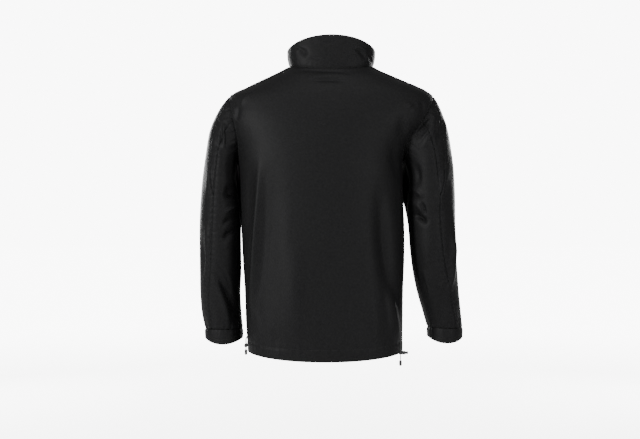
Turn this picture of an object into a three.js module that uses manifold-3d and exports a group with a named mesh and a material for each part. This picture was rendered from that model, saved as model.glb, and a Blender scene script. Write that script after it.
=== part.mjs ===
// A softshell jacket, filled out as if worn with nobody in it, at its real size in millimetres.
// +Z is up, the back of the jacket faces -Y and the zipped front faces +Y.
// The origin lies between the shoulders, level with the two side points of the neck seam.
// Angles round the body run from 0 at the +X side seam, through 90 at the zip and 180 at the -X side seam,
// to 270 at the middle of the back.
import * as THREE from "three";
import Module from "manifold-3d";

// Driving sizes
const CLOTH = 2; // bonded shell cloth
const DOUBLE_CLOTH = 3; // two layers sewn together, as in the collar and the cuffs
const SEAM_GAP = 0.3; // between two pieces that are sewn to each other
const SQUARE = 0.14; // how far the body's sections are from a plain ellipse
const HEM_Z = -708; // at the two sides
const HEM_HEIGHT = 26; // folded hem with the drawcord in it
const HEM_PROUD = 0.6;
const UNDERARM_Z = -230;
const SHOULDER_TIP_Z = -74;
const ARMHOLE_HALF_DEPTH = 66;
const SHOULDER_SEAM_TURN = 30; // degrees that the shoulder seam lies behind the ridge at the neck
const ZIP_OPENING = 4; // from the zip's line to each front's edge
const ZIP_CHAIN_HALF = 2.4;
const ZIP_CHAIN_THICKNESS = 2.2;
const ZIP_TAPE_WIDTH = 11;
const ZIP_TAPE_THICKNESS = 0.8;
const ZIP_BOX_HEIGHT = 10;
const ZIP_SHIFT = -18; // the zip's line moves this far sideways from the neck to the belly
const SLIDER_RISE = 0.86; // place of the slider on the collar, from its seam to its top edge
const SLIDER = { halfWidth: 3.4, height: 11, thickness: 3.7 };
const PIN_RADIUS = 0.7;
const EYE_RADIUS = 1.9;
const TAB = { width: 4, length: 25, thickness: 1.3 };
const CORD_DIAMETER = 2.5;
const LOCK = { length: 16, radius: 4.7, plungerLength: 7, plungerRadius: 3.4 };
const BEAD = { length: 15, radius: 3.6 };
const COLLAR_BULGE = 2.5;

// Grid counts
const BACK_COLUMNS = 28;
const FRONT_COLUMNS = 12;
const SKIRT_ROWS = 12;
const ARMHOLE_ROWS = 11;
const SHOULDER_ROWS = 5;
const SLEEVE_ROWS = 20;
const COLLAR_COLUMNS = 40;
const COLLAR_ROWS = 5;
const CUFF_ROWS = 3;

// The body's sections, from the hem up to the neck seam. z is the height at the two sides;
// the drops are how much lower the section runs at the middle of the back and of the front.
const BODY_ROWS = [
  { z: HEM_Z, left: -207, right: 178, back: -117, front: 126, backDrop: 17, frontDrop: 9 },
  { z: -640, left: -212, right: 179, back: -121, front: 129, backDrop: 10, frontDrop: 6 },
  { z: -560, left: -215, right: 180, back: -124, front: 131, backDrop: 4, frontDrop: 2 },
  { z: -480, left: -220, right: 183, back: -127, front: 133, backDrop: 0, frontDrop: 0 },
  { z: -400, left: -224, right: 183, back: -129, front: 135, backDrop: 0, frontDrop: 0 },
  { z: -330, left: -226, right: 180, back: -131, front: 137, backDrop: 0, frontDrop: 0 },
  { z: -275, left: -229, right: 179, back: -133, front: 138, backDrop: 0, frontDrop: 0 },
  { z: UNDERARM_Z, left: -234, right: 181, back: -133, front: 137, backDrop: 0, frontDrop: 2 },
  { z: -200, left: -241, right: 193, back: -132, front: 135, backDrop: 0, frontDrop: 5 },
  { z: -170, left: -253, right: 218, back: -130, front: 132, backDrop: 0, frontDrop: 11 },
  { z: -140, left: -264, right: 245, back: -127, front: 127, backDrop: 1, frontDrop: 20 },
  { z: -110, left: -265, right: 259, back: -122, front: 119, backDrop: 3, frontDrop: 31 },
  { z: SHOULDER_TIP_Z, left: -252, right: 254, back: -113, front: 105, backDrop: 5, frontDrop: 47 },
  { z: -53, left: -212, right: 222, back: -106, front: 96, backDrop: 7, frontDrop: 57 },
  { z: -38, left: -181, right: 187, back: -99, front: 88, backDrop: 8, frontDrop: 65 },
  { z: -22, left: -147, right: 150, back: -91, front: 78, backDrop: 9, frontDrop: 72 },
  { z: -9, left: -121, right: 120, back: -82, front: 70, backDrop: 10, frontDrop: 77 },
  { z: 0, left: -104, right: 105, back: -76, front: 64, backDrop: 11, frontDrop: 80 },
];

// The collar's top edge, with its height at the back, the sides and the front.
const COLLAR_TOP = { left: -109, right: 110, back: -70, front: 70, backZ: 72, sideZ: 41, frontZ: -4 };

// The sleeves' sections, from just past the armhole to the cuff seam. Outer and inner are the two edges
// seen from behind, and tuck is how far the sleeve bulges in beside the chest.
const RIGHT_SLEEVE_ROWS = [
  { outerX: 268, outerZ: -86, innerX: 188, innerZ: -240, y: 3, depth: 70, tuck: 4 },
  { outerX: 281, outerZ: -112, innerX: 191, innerZ: -256, y: 4, depth: 76, tuck: 14 },
  { outerX: 292, outerZ: -156, innerX: 193, innerZ: -278, y: 5, depth: 78, tuck: 24 },
  { outerX: 302, outerZ: -216, innerX: 193, innerZ: -302, y: 6, depth: 77, tuck: 27 },
  { outerX: 309, outerZ: -286, innerX: 191, innerZ: -332, y: 7, depth: 75, tuck: 20 },
  { outerX: 311, outerZ: -350, innerX: 191, innerZ: -365, y: 7, depth: 72, tuck: 8 },
  { outerX: 311, outerZ: -402, innerX: 194, innerZ: -405, y: 7, depth: 69, tuck: 0 },
  { outerX: 312, outerZ: -455, innerX: 198, innerZ: -456, y: 9, depth: 66, tuck: 0 },
  { outerX: 317, outerZ: -508, innerX: 205, innerZ: -508, y: 15, depth: 62, tuck: 0 },
  { outerX: 322, outerZ: -562, innerX: 216, innerZ: -560, y: 24, depth: 58, tuck: 0 },
  { outerX: 328, outerZ: -612, innerX: 231, innerZ: -610, y: 34, depth: 54, tuck: 0 },
  { outerX: 333, outerZ: -654, innerX: 244, innerZ: -652, y: 42, depth: 50, tuck: 0 },
];
const LEFT_SLEEVE_ROWS = [
  { outerX: -267, outerZ: -88, innerX: -238, innerZ: -242, y: 3, depth: 70, tuck: 3 },
  { outerX: -289, outerZ: -114, innerX: -239, innerZ: -258, y: 4, depth: 76, tuck: 8 },
  { outerX: -303, outerZ: -158, innerX: -237, innerZ: -282, y: 5, depth: 79, tuck: 14 },
  { outerX: -313, outerZ: -216, innerX: -234, innerZ: -306, y: 6, depth: 79, tuck: 17 },
  { outerX: -322, outerZ: -284, innerX: -230.5, innerZ: -336, y: 7, depth: 77, tuck: 15 },
  { outerX: -327, outerZ: -348, innerX: -228, innerZ: -366, y: 7, depth: 74, tuck: 9 },
  { outerX: -329, outerZ: -402, innerX: -226.5, innerZ: -406, y: 7, depth: 70, tuck: 4 },
  { outerX: -329, outerZ: -456, innerX: -225, innerZ: -458, y: 9, depth: 66, tuck: 0 },
  { outerX: -329, outerZ: -510, innerX: -225, innerZ: -512, y: 15, depth: 62, tuck: 0 },
  { outerX: -329, outerZ: -562, innerX: -228, innerZ: -562, y: 24, depth: 58, tuck: 0 },
  { outerX: -326, outerZ: -614, innerX: -226, innerZ: -614, y: 34, depth: 54, tuck: 0 },
  { outerX: -318, outerZ: -656, innerX: -223, innerZ: -656, y: 42, depth: 50, tuck: 0 },
];
const ARMHOLE_BLEND = 0.2; // share of the sleeve over which the armhole's loop turns into the arm's sections

// Where the sleeve's seams lie, counted in armhole steps from the shoulder tip down the back.
const ARM_STEPS = 2 * ARMHOLE_ROWS;
const GORE_OUTER_START = 2;
const GORE_INNER_START = 5;
const BACK_SEAM_END = 3.4;
const BACK_SEAM_ELBOW = 4.6;
const FRONT_SEAM = ARM_STEPS - 6;
const GORE_ROWS = 8; // the gore runs to a point this many rows down the sleeve

// The cuffs: the band's height at the back of the arm and round the rest of it.
const CUFF_BACK_HEIGHT = 37;
const CUFF_SIDE_HEIGHT = 23;
const CUFF_PROUD = 1.2;

// The largest folds, each a crest (height above 0) or a trough (below 0), from its top end to its lower end.
// Those of the back and the sleeves are seen from behind.
const BACK_FOLDS = [
  { x1: -172, z1: -205, x2: -206, z2: -690, bow: 9, width: 15, height: 10 },
  { x1: -198, z1: -235, x2: -216, z2: -480, bow: 4, width: 12, height: -6 },
  { x1: -140, z1: -230, x2: -166, z2: -640, bow: 6, width: 24, height: -6 },
  { x1: 118, z1: -270, x2: 168, z2: -660, bow: -12, width: 24, height: -10 },
  { x1: 138, z1: -530, x2: 168, z2: -690, bow: 4, width: 11, height: 8 },
  { x1: 158, z1: -560, x2: 174, z2: -680, bow: 2, width: 10, height: -4 },
  { x1: 186, z1: -112, x2: 176, z2: -205, bow: -6, width: 15, height: -5 },
  { x1: -88, z1: -420, x2: -92, z2: -705, bow: 0, width: 26, height: 5 },
  { x1: 30, z1: -380, x2: 20, z2: -700, bow: 0, width: 40, height: -4 },
  { x1: -70, z1: -30, x2: 62, z2: -28, bow: 10, width: 7, height: -2 },
  { x1: -48, z1: -50, x2: 44, z2: -47, bow: 8, width: 8, height: -2.2 },
];
const FRONT_FOLDS = [
  { x1: -165, z1: -250, x2: -190, z2: -640, bow: 8, width: 22, height: 8 },
  { x1: 130, z1: -260, x2: 152, z2: -650, bow: -8, width: 22, height: 8 },
  { x1: -95, z1: -300, x2: -110, z2: -680, bow: 0, width: 30, height: -5 },
  { x1: 80, z1: -320, x2: 92, z2: -690, bow: 0, width: 30, height: -5 },
  { x1: -190, z1: -110, x2: -168, z2: -200, bow: 6, width: 16, height: -5 },
  { x1: 186, z1: -112, x2: 160, z2: -200, bow: -6, width: 16, height: -5 },
];
const LEFT_SLEEVE_FOLDS = [
  { x1: -228, z1: -290, x2: -262, z2: -335, bow: -4, width: 9, height: -6 },
  { x1: -226, z1: -370, x2: -268, z2: -405, bow: -4, width: 9, height: -6 },
  { x1: -232, z1: -408, x2: -270, z2: -436, bow: -3, width: 8, height: -5 },
  { x1: -286, z1: -500, x2: -237, z2: -650, bow: 9, width: 10, height: -9 },
  { x1: -296, z1: -520, x2: -254, z2: -650, bow: 9, width: 9, height: 6 },
  { x1: -288, z1: -140, x2: -268, z2: -190, bow: -3, width: 8, height: -4 },
];
const RIGHT_SLEEVE_FOLDS = [
  { x1: 190, z1: -330, x2: 232, z2: -372, bow: 4, width: 8, height: 4 },
  { x1: 194, z1: -362, x2: 240, z2: -396, bow: 4, width: 9, height: -5 },
  { x1: 288, z1: -250, x2: 262, z2: -370, bow: -5, width: 10, height: 6 },
  { x1: 298, z1: -340, x2: 290, z2: -590, bow: 9, width: 9, height: 7 },
  { x1: 264, z1: -112, x2: 258, z2: -210, bow: 4, width: 7, height: -4 },
  { x1: 276, z1: -112, x2: 274, z2: -200, bow: 3, width: 6, height: -3.5 },
  { x1: 262, z1: -540, x2: 280, z2: -620, bow: 3, width: 11, height: -4 },
];
const COLLAR_FOLDS = [
  { x1: -82, z1: 36, x2: -58, z2: 16, bow: 4, width: 8, height: -4 },
  { x1: 62, z1: 40, x2: 86, z2: 8, bow: 4, width: 7, height: -4 },
  { x1: 86, z1: 42, x2: 100, z2: 4, bow: 4, width: 6, height: -4.5 },
];

const blackCloth = new THREE.MeshStandardMaterial({ color: 0x1c1c1c, roughness: 0.86, metalness: 0 });
const zipMaterial = new THREE.MeshStandardMaterial({ color: 0x141414, roughness: 0.5, metalness: 0 });
const trimMaterial = new THREE.MeshStandardMaterial({ color: 0x101010, roughness: 0.35, metalness: 0 });
const metalMaterial = new THREE.MeshStandardMaterial({ color: 0x1a1a1a, roughness: 0.35, metalness: 0.6 });
const cordMaterial = new THREE.MeshStandardMaterial({ color: 0x161616, roughness: 0.8, metalness: 0 });

// The drawcords' routes, from the hem through the lock's hole to the bead.
const RIGHT_CORD = [
  { x: 173.2, y: -8, z: -697 },
  { x: 173.2, y: -8, z: -706 },
  { x: 173.2, y: -8, z: -714 },
  { x: 173.2, y: -8, z: -722 },
  { x: 173.2, y: -8, z: -731 },
];
const LEFT_CORD = [
  { x: -210.2, y: 14, z: -675 },
  { x: -212.4, y: 14, z: -677.5 },
  { x: -213.4, y: 14, z: -681 },
  { x: -213.4, y: 14, z: -688 },
  { x: -213.4, y: 14, z: -697 },
  { x: -213.4, y: 14, z: -706 },
];
const RIGHT_LOCK = { x: 173.2, y: -8, z: -713, turn: 0 };
const LEFT_LOCK = { x: -213.4, y: 14, z: -697, turn: 90 };

const manifold = await Module();
manifold.setup();

const jacket = new THREE.Group();

const radians = THREE.MathUtils.degToRad;
const lerp = THREE.MathUtils.lerp;
const clamp01 = (t) => Math.min(1, Math.max(0, t));
const ease = (t) => clamp01(t) ** 2 * (3 - 2 * clamp01(t));

// The value of one column at a place in the table, on a smooth curve through its rows.
function smoothColumn(rows, key, place, value) {
  const last = rows.length - 1;
  let i = 0;
  while (i < last - 1 && place > rows[i + 1][key]) i++;
  const at = (n) => rows[Math.min(last, Math.max(0, n))];
  const slope = (n) => {
    const before = at(n - 1);
    const after = at(n + 1);
    return (after[value] - before[value]) / (after[key] - before[key]);
  };
  const step = rows[i + 1][key] - rows[i][key];
  const t = clamp01((place - rows[i][key]) / step);
  const start = rows[i][value];
  const end = rows[i + 1][value];
  return (
    start * (1 + 2 * t) * (1 - t) ** 2 +
    end * t * t * (3 - 2 * t) +
    slope(i) * step * t * (1 - t) ** 2 -
    slope(i + 1) * step * t * t * (1 - t)
  );
}

// How far the folds push the cloth out at a point seen from behind or in front.
function foldHeight(folds, x, z) {
  let sum = 0;
  for (const fold of folds) {
    const runX = fold.x2 - fold.x1;
    const runZ = fold.z2 - fold.z1;
    const length = Math.hypot(runX, runZ);
    const along = ((x - fold.x1) * runX + (z - fold.z1) * runZ) / (length * length);
    if (along <= 0 || along >= 1) continue;
    const across = ((x - fold.x1) * -runZ + (z - fold.z1) * runX) / length;
    const offset = across - 4 * fold.bow * along * (1 - along);
    sum += fold.height * Math.sin(Math.PI * along) ** 1.3 * Math.exp(-((offset / fold.width) ** 2));
  }
  return sum;
}

// The body's plain form at a side height and an angle.
function bodyForm(z, angle) {
  const column = (name) => smoothColumn(BODY_ROWS, "z", z, name);
  const c = Math.cos(radians(angle));
  const s = Math.sin(radians(angle));
  const left = column("left");
  const right = column("right");
  const depth = s >= 0 ? column("front") : -column("back");
  const drop = s >= 0 ? column("frontDrop") : column("backDrop");
  return new THREE.Vector3(
    (left + right) / 2 + ((right - left) / 2) * c * (1 + SQUARE * s * s),
    depth * s * (1 + SQUARE * c * c),
    z - drop * s * s,
  );
}

// The direction out of a surface at a place.
function outward(surface, u, v, du, dv) {
  const alongU = surface(u + du, v).sub(surface(u - du, v));
  const alongV = surface(u, v + dv).sub(surface(u, v - dv));
  return alongU.cross(alongV).normalize();
}

function bodyOut(z, angle) {
  const inside = Math.min(-1, Math.max(HEM_Z + 1, z));
  return outward((a, b) => bodyForm(b, a), angle, inside, 0.5, 1);
}

// The body's outer face, with its folds and the folded hem.
function bodySurface(z, angle) {
  const point = bodyForm(z, angle);
  const out = bodyOut(z, angle);
  const folds = out.y < 0 ? BACK_FOLDS : FRONT_FOLDS;
  const facing = ease(Math.abs(out.y) * 1.6);
  const hem = HEM_PROUD * ease((HEM_Z + HEM_HEIGHT - z) / 3);
  return point.addScaledVector(out, facing * foldHeight(folds, point.x, point.z) + hem);
}

// The angle on one side, in front of or behind the side line, where the body's form has that depth y.
function solveDepth(z, y, rightSide) {
  let near = 0;
  let far = 80;
  const turn = (a) => (rightSide ? (y < 0 ? -a : a) : y < 0 ? 180 + a : 180 - a);
  for (let i = 0; i < 40; i++) {
    const middle = (near + far) / 2;
    if (Math.abs(bodyForm(z, turn(middle)).y) < Math.abs(y)) near = middle;
    else far = middle;
  }
  return turn(near);
}

// The body panels' edge at the side: the side seam, then the armhole, then the shoulder seam.
function sideEdge(z, rightSide, behind) {
  const side = rightSide ? 0 : 180;
  if (z <= UNDERARM_Z) return side;
  if (z >= SHOULDER_TIP_Z) {
    const turn = SHOULDER_SEAM_TURN * (1 - (z / SHOULDER_TIP_Z) ** 3);
    return rightSide ? side - turn : side + turn;
  }
  const middle = (UNDERARM_Z + SHOULDER_TIP_Z) / 2;
  const half = (SHOULDER_TIP_Z - UNDERARM_Z) / 2;
  const share = Math.sqrt(Math.max(0, 1 - ((z - middle) / half) ** 2));
  const y = (behind ? -1 : 1) * share * ARMHOLE_HALF_DEPTH;
  return solveDepth(z, y, rightSide);
}

// The side heights of the body panels' rows.
function bodyHeights() {
  const heights = [];
  for (let i = 0; i < SKIRT_ROWS; i++) heights.push(lerp(HEM_Z, UNDERARM_Z, i / SKIRT_ROWS));
  heights.splice(1, 0, HEM_Z + HEM_HEIGHT - 3, HEM_Z + HEM_HEIGHT);
  const middle = (UNDERARM_Z + SHOULDER_TIP_Z) / 2;
  const half = (SHOULDER_TIP_Z - UNDERARM_Z) / 2;
  for (let i = 0; i <= ARMHOLE_ROWS; i++) {
    heights.push(middle - half * Math.cos((Math.PI * i) / ARMHOLE_ROWS));
  }
  for (let i = 1; i <= SHOULDER_ROWS; i++) heights.push(lerp(SHOULDER_TIP_Z, 0, i / SHOULDER_ROWS));
  return heights;
}

// One closed wall from a grid of outer points and their directions out.
function clothWall(outer, outs, thickness) {
  const rows = outer.length;
  const columns = outer[0].length;
  const positions = [];
  for (const row of outer) for (const p of row) positions.push(p.x, p.y, p.z);
  outer.forEach((row, i) =>
    row.forEach((p, j) => {
      const inner = p.clone().addScaledVector(outs[i][j], -thickness);
      positions.push(inner.x, inner.y, inner.z);
    }),
  );
  const faces = [];
  const inside = rows * columns;
  const quad = (a, b, c, d) => faces.push(a, b, c, a, c, d);
  const id = (i, j) => i * columns + j;
  for (let i = 0; i < rows - 1; i++)
    for (let j = 0; j < columns - 1; j++) {
      quad(id(i, j), id(i, j + 1), id(i + 1, j + 1), id(i + 1, j));
      quad(inside + id(i, j), inside + id(i + 1, j), inside + id(i + 1, j + 1), inside + id(i, j + 1));
    }
  const rim = [];
  for (let j = 0; j < columns - 1; j++) rim.push(id(0, j));
  for (let i = 0; i < rows - 1; i++) rim.push(id(i, columns - 1));
  for (let j = columns - 1; j > 0; j--) rim.push(id(rows - 1, j));
  for (let i = rows - 1; i > 0; i--) rim.push(id(i, 0));
  rim.forEach((a, n) => {
    const b = rim[(n + 1) % rim.length];
    quad(a, inside + a, inside + b, b);
  });
  return facingOut(positions, faces);
}

// A closed tube wall: each row of outer points runs once round and joins itself.
function tubeWall(outer, outs, thickness) {
  const rows = outer.length;
  const columns = outer[0].length;
  const positions = [];
  for (const row of outer) for (const p of row) positions.push(p.x, p.y, p.z);
  outer.forEach((row, i) =>
    row.forEach((p, j) => {
      const inner = p.clone().addScaledVector(outs[i][j], -thickness);
      positions.push(inner.x, inner.y, inner.z);
    }),
  );
  const faces = [];
  const inside = rows * columns;
  const id = (i, j) => i * columns + (j % columns);
  const quad = (a, b, c, d) => faces.push(a, b, c, a, c, d);
  for (let j = 0; j < columns; j++) {
    for (let i = 0; i < rows - 1; i++) {
      quad(id(i, j), id(i, j + 1), id(i + 1, j + 1), id(i + 1, j));
      quad(inside + id(i, j), inside + id(i + 1, j), inside + id(i + 1, j + 1), inside + id(i, j + 1));
    }
    quad(id(0, j), inside + id(0, j), inside + id(0, j + 1), id(0, j + 1));
    quad(id(rows - 1, j), id(rows - 1, j + 1), inside + id(rows - 1, j + 1), inside + id(rows - 1, j));
  }
  return facingOut(positions, faces);
}

// A geometry whose faces point out, whichever way its grid ran.
function facingOut(positions, faces) {
  let volume = 0;
  const corner = (n) => new THREE.Vector3().fromArray(positions, n * 3);
  for (let f = 0; f < faces.length; f += 3) {
    volume += corner(faces[f]).dot(corner(faces[f + 1]).cross(corner(faces[f + 2])));
  }
  if (volume < 0) faces.reverse();
  const geometry = new THREE.BufferGeometry();
  geometry.setAttribute("position", new THREE.Float32BufferAttribute(positions, 3));
  geometry.setIndex(faces);
  return geometry;
}

function addPiece(name, geometry, material) {
  const piece = new THREE.Mesh(geometry, material);
  piece.name = name;
  jacket.add(piece);
  return piece;
}

// A body panel between two edges, each a function of the side height that gives an angle.
function bodyPanel(name, heights, startEdge, endEdge, columns) {
  const outer = [];
  const outs = [];
  heights.forEach((z, i) => {
    const radius = 150;
    const inset = THREE.MathUtils.radToDeg(SEAM_GAP / 2 / radius);
    const start = startEdge(z) + inset;
    const end = endEdge(z) - inset;
    const row = [];
    const rowOuts = [];
    for (let j = 0; j <= columns; j++) {
      const angle = lerp(start, end, j / columns);
      row.push(bodySurface(z, angle));
      rowOuts.push(bodyOut(z, angle));
    }
    outer.push(row);
    outs.push(rowOuts);
  });
  addPiece(name, clothWall(outer, outs, CLOTH), blackCloth);
}

// The angle near the middle of the front at which a form has that x.
function frontAngle(form, height, x) {
  let right = 50;
  let left = 130;
  for (let i = 0; i < 40; i++) {
    const middle = (left + right) / 2;
    if (form(height, middle).x > x) right = middle;
    else left = middle;
  }
  return (left + right) / 2;
}

const zipX = (z) => ZIP_SHIFT * ease((-z - 10) / 260);

// The angle of a front's edge beside the zip.
const frontEdge = (z, rightSide) => frontAngle(bodyForm, z, zipX(z) + ZIP_OPENING * (rightSide ? 1 : -1));

function makeBody() {
  const heights = bodyHeights();
  const side = (rightSide, behind) => (z) => sideEdge(z, rightSide, behind);
  const zipEdge = (rightSide) => (z) => frontEdge(z, rightSide);
  bodyPanel("back", heights, side(false, true), (z) => 360 + side(true, true)(z), BACK_COLUMNS);
  bodyPanel("front_right", heights, side(true, false), zipEdge(true), FRONT_COLUMNS);
  bodyPanel("front_left", heights, zipEdge(false), side(false, false), FRONT_COLUMNS);
}

// The collar's plain form: 0 at the neck seam, 1 at the top edge.
function collarForm(rise, angle) {
  const base = bodyForm(0, angle);
  const c = Math.cos(radians(angle));
  const s = Math.sin(radians(angle));
  const depth = s >= 0 ? COLLAR_TOP.front : -COLLAR_TOP.back;
  const endZ = s >= 0 ? COLLAR_TOP.frontZ : COLLAR_TOP.backZ;
  const { left, right } = COLLAR_TOP;
  const top = new THREE.Vector3(
    (left + right) / 2 + ((right - left) / 2) * c * (1 + SQUARE * s * s),
    depth * s * (1 + SQUARE * c * c),
    lerp(COLLAR_TOP.sideZ, endZ, s * s),
  );
  const bulge = COLLAR_BULGE * Math.sin(Math.PI * rise);
  const point = base.lerp(top, rise);
  point.x += bulge * c;
  point.y += bulge * s;
  return point;
}

function collarOut(rise, angle) {
  return outward((a, b) => collarForm(b, a), angle, Math.min(0.97, Math.max(0.03, rise)), 0.5, 0.02);
}

function makeCollar() {
  const outer = [];
  const outs = [];
  const lift = SEAM_GAP / 70;
  for (let i = 0; i <= COLLAR_ROWS; i++) {
    const rise = lerp(lift, 1, i / COLLAR_ROWS);
    const row = [];
    const rowOuts = [];
    for (let j = 0; j <= COLLAR_COLUMNS; j++) {
      const start = frontAngle(collarForm, rise, -ZIP_OPENING);
      const end = 360 + frontAngle(collarForm, rise, ZIP_OPENING);
      const angle = lerp(start, end, j / COLLAR_COLUMNS);
      const point = collarForm(rise, angle);
      const out = collarOut(rise, angle);
      const folds = out.y < 0 ? foldHeight(COLLAR_FOLDS, point.x, point.z) : 0;
      row.push(point.addScaledVector(out, folds));
      rowOuts.push(out);
    }
    outer.push(row);
    outs.push(rowOuts);
  }
  addPiece("collar", clothWall(outer, outs, DOUBLE_CLOTH), blackCloth);
}

// The armhole's loop on the body: from the shoulder tip down the back to the underarm and up the front.
function armholeLoop(rightSide) {
  const middle = (UNDERARM_Z + SHOULDER_TIP_Z) / 2;
  const half = (SHOULDER_TIP_Z - UNDERARM_Z) / 2;
  const loop = [];
  for (let i = 0; i < ARM_STEPS; i++) {
    const behind = i <= ARMHOLE_ROWS;
    const z = middle + half * Math.cos((Math.PI * i) / ARMHOLE_ROWS);
    loop.push(bodySurface(z, sideEdge(z, rightSide, behind)));
  }
  return loop;
}

// A sleeve's plain form: along runs from 0 at the armhole to 1 at the cuff seam,
// and step counts armhole steps round the arm.
function sleeveForm(rows, loop, along, step) {
  const place = 1 + along * (rows.length - 1);
  const table = rows.map((row, n) => ({ ...row, n: n + 1 }));
  const column = (name) => smoothColumn(table, "n", place, name);
  const turn = (2 * Math.PI * step) / ARM_STEPS;
  const across = (Math.cos(turn) + 1) / 2;
  const tuck = 2 * column("tuck") * Math.max(0, -Math.cos(turn)) * Math.max(0, -Math.sin(turn));
  const inward = Math.sign(column("innerX") - column("outerX"));
  const ring = new THREE.Vector3(
    lerp(column("innerX"), column("outerX"), across) + inward * tuck,
    column("y") - column("depth") * Math.sin(turn),
    lerp(column("innerZ"), column("outerZ"), across),
  );
  const whole = ((step % ARM_STEPS) + ARM_STEPS) % ARM_STEPS;
  const first = Math.floor(whole);
  const start = loop[first].clone().lerp(loop[(first + 1) % ARM_STEPS], whole - first);
  return start.lerp(ring, ease(along / ARMHOLE_BLEND));
}

function makeSleeve(side, rows, folds) {
  const rightSide = side === "right";
  const loop = armholeLoop(rightSide);
  const form = (along, step) => sleeveForm(rows, loop, along, step);
  const out = (along, step) => {
    const inside = Math.min(0.99, Math.max(0.012, along));
    const direction = outward((a, b) => form(b, a), step, inside, 0.2, 0.01);
    const middle = form(inside, 0).add(form(inside, ARM_STEPS / 2)).multiplyScalar(0.5);
    const across = form(inside, step).sub(middle);
    return direction.dot(across) < 0 ? direction.negate() : direction;
  };
  const surface = (along, step) => {
    const point = form(along, step);
    const direction = out(along, step);
    const facing = direction.y < 0 ? ease(-direction.y * 2) : 0.6 * ease(direction.y * 2);
    const settle = ease(along / 0.05) * ease((1 - along) / 0.02);
    return point.addScaledVector(direction, settle * facing * foldHeight(folds, point.x, point.z));
  };
  const goreEnd = GORE_ROWS / SLEEVE_ROWS;
  // The back seam runs from the gore's point to the cuff; above the point it parts round the gore.
  const backSeam = (along) => lerp(BACK_SEAM_ELBOW, BACK_SEAM_END, ease((along - goreEnd) / (1 - goreEnd)));
  const aboveGoreEnd = (start, along, power) => lerp(start, BACK_SEAM_ELBOW, (along / goreEnd) ** power);
  const outerSeam = (along) => (along < goreEnd ? aboveGoreEnd(GORE_OUTER_START, along, 2) : backSeam(along));
  const innerSeam = (along) => (along < goreEnd ? aboveGoreEnd(GORE_INNER_START, along, 1) : backSeam(along));
  const panel = (name, from, to, columns, lastRow) => {
    const outer = [];
    const outs = [];
    for (let i = 0; i <= lastRow; i++) {
      const along = lerp(0.0012, 0.9985, i / SLEEVE_ROWS);
      const gap = 0.008;
      const row = [];
      const rowOuts = [];
      for (let j = 0; j <= columns; j++) {
        const step = lerp(from(along) + gap, to(along) - gap, j / columns);
        row.push(surface(along, step));
        rowOuts.push(out(along, step));
      }
      outer.push(row);
      outs.push(rowOuts);
    }
    addPiece(name, clothWall(outer, outs, CLOTH), blackCloth);
  };
  const outerColumns = ARM_STEPS - FRONT_SEAM + GORE_OUTER_START;
  const goreColumns = GORE_INNER_START - GORE_OUTER_START;
  panel("sleeve_outer_" + side, () => FRONT_SEAM - ARM_STEPS, outerSeam, outerColumns, SLEEVE_ROWS);
  panel("sleeve_under_" + side, innerSeam, () => FRONT_SEAM, FRONT_SEAM - GORE_INNER_START, SLEEVE_ROWS);
  panel("sleeve_gore_" + side, outerSeam, innerSeam, goreColumns, GORE_ROWS - 1);
  makeCuff(side, form);
}

// A cuff: a band sewn to the sleeve's end, longer at the back of the arm.
function makeCuff(side, form) {
  const columns = ARM_STEPS;
  const outer = [];
  const outs = [];
  const middle = form(1, 0).add(form(1, ARM_STEPS / 2)).multiplyScalar(0.5);
  for (let i = 0; i <= CUFF_ROWS; i++) {
    const share = i / CUFF_ROWS;
    const row = [];
    const rowOuts = [];
    for (let j = 0; j < columns; j++) {
      const seamPoint = form(1, j);
      const direction = seamPoint.clone().sub(middle).setZ(0).normalize();
      const behind = Math.max(0, -direction.y) ** 2;
      const height = lerp(CUFF_SIDE_HEIGHT, CUFF_BACK_HEIGHT, behind);
      const roll = CUFF_PROUD * Math.sin(Math.PI * (0.15 + 0.75 * share));
      const point = seamPoint.addScaledVector(direction, roll);
      point.z -= SEAM_GAP + height * share;
      row.push(point);
      rowOuts.push(direction);
    }
    outer.push(row);
    outs.push(rowOuts);
  }
  addPiece("cuff_" + side, tubeWall(outer, outs, DOUBLE_CLOTH), blackCloth);
}

// The zip stations, from the hem to the top of the collar: points at an offset sideways and out.
function zipStations(bottom) {
  const stations = [];
  for (const z of bodyHeights().filter((height) => height > bottom + 4)) stations.push({ z, body: true });
  stations.unshift({ z: bottom, body: true });
  for (let i = 0; i <= COLLAR_ROWS; i++) {
    stations.push({ rise: lerp(0.004, 0.985, i / COLLAR_ROWS), body: false });
  }
  return stations.map((station) => (sideways, out) => {
    const form = station.body ? bodyForm : collarForm;
    const height = station.body ? station.z : station.rise;
    const angle = frontAngle(form, height, (station.body ? zipX(height) : 0) + sideways);
    const cloth = station.body && station.z < -1 ? CLOTH : DOUBLE_CLOTH;
    const point = station.body ? bodySurface(height, angle) : collarForm(height, angle);
    const direction = station.body ? bodyOut(height, angle) : collarOut(height, angle);
    return { point: point.addScaledVector(direction, out - cloth), direction };
  });
}

function zipStrip(name, bottom, from, to, columns, out, thickness, material) {
  const outer = [];
  const outs = [];
  for (const station of zipStations(bottom)) {
    const places = Array.from({ length: columns + 1 }, (_, j) => station(lerp(from, to, j / columns), out));
    outer.push(places.map((place) => place.point));
    outs.push(places.map((place) => place.direction));
  }
  addPiece(name, clothWall(outer, outs, thickness), material);
}

const asManifold = (geometry) => {
  const plain = geometry.index ? geometry : geometry.clone();
  const vertices = new Float32Array(plain.attributes.position.array);
  const triangles = new Uint32Array(plain.index.array);
  const mesh = new manifold.Mesh({ numProp: 3, vertProperties: vertices, triVerts: triangles });
  mesh.merge();
  return new manifold.Manifold(mesh);
};

function fused(geometries) {
  const mesh = manifold.Manifold.union(geometries.map(asManifold)).getMesh();
  const geometry = new THREE.BufferGeometry();
  geometry.setAttribute("position", new THREE.Float32BufferAttribute(mesh.vertProperties, 3));
  geometry.setIndex(Array.from(mesh.triVerts));
  return geometry;
}

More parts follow.
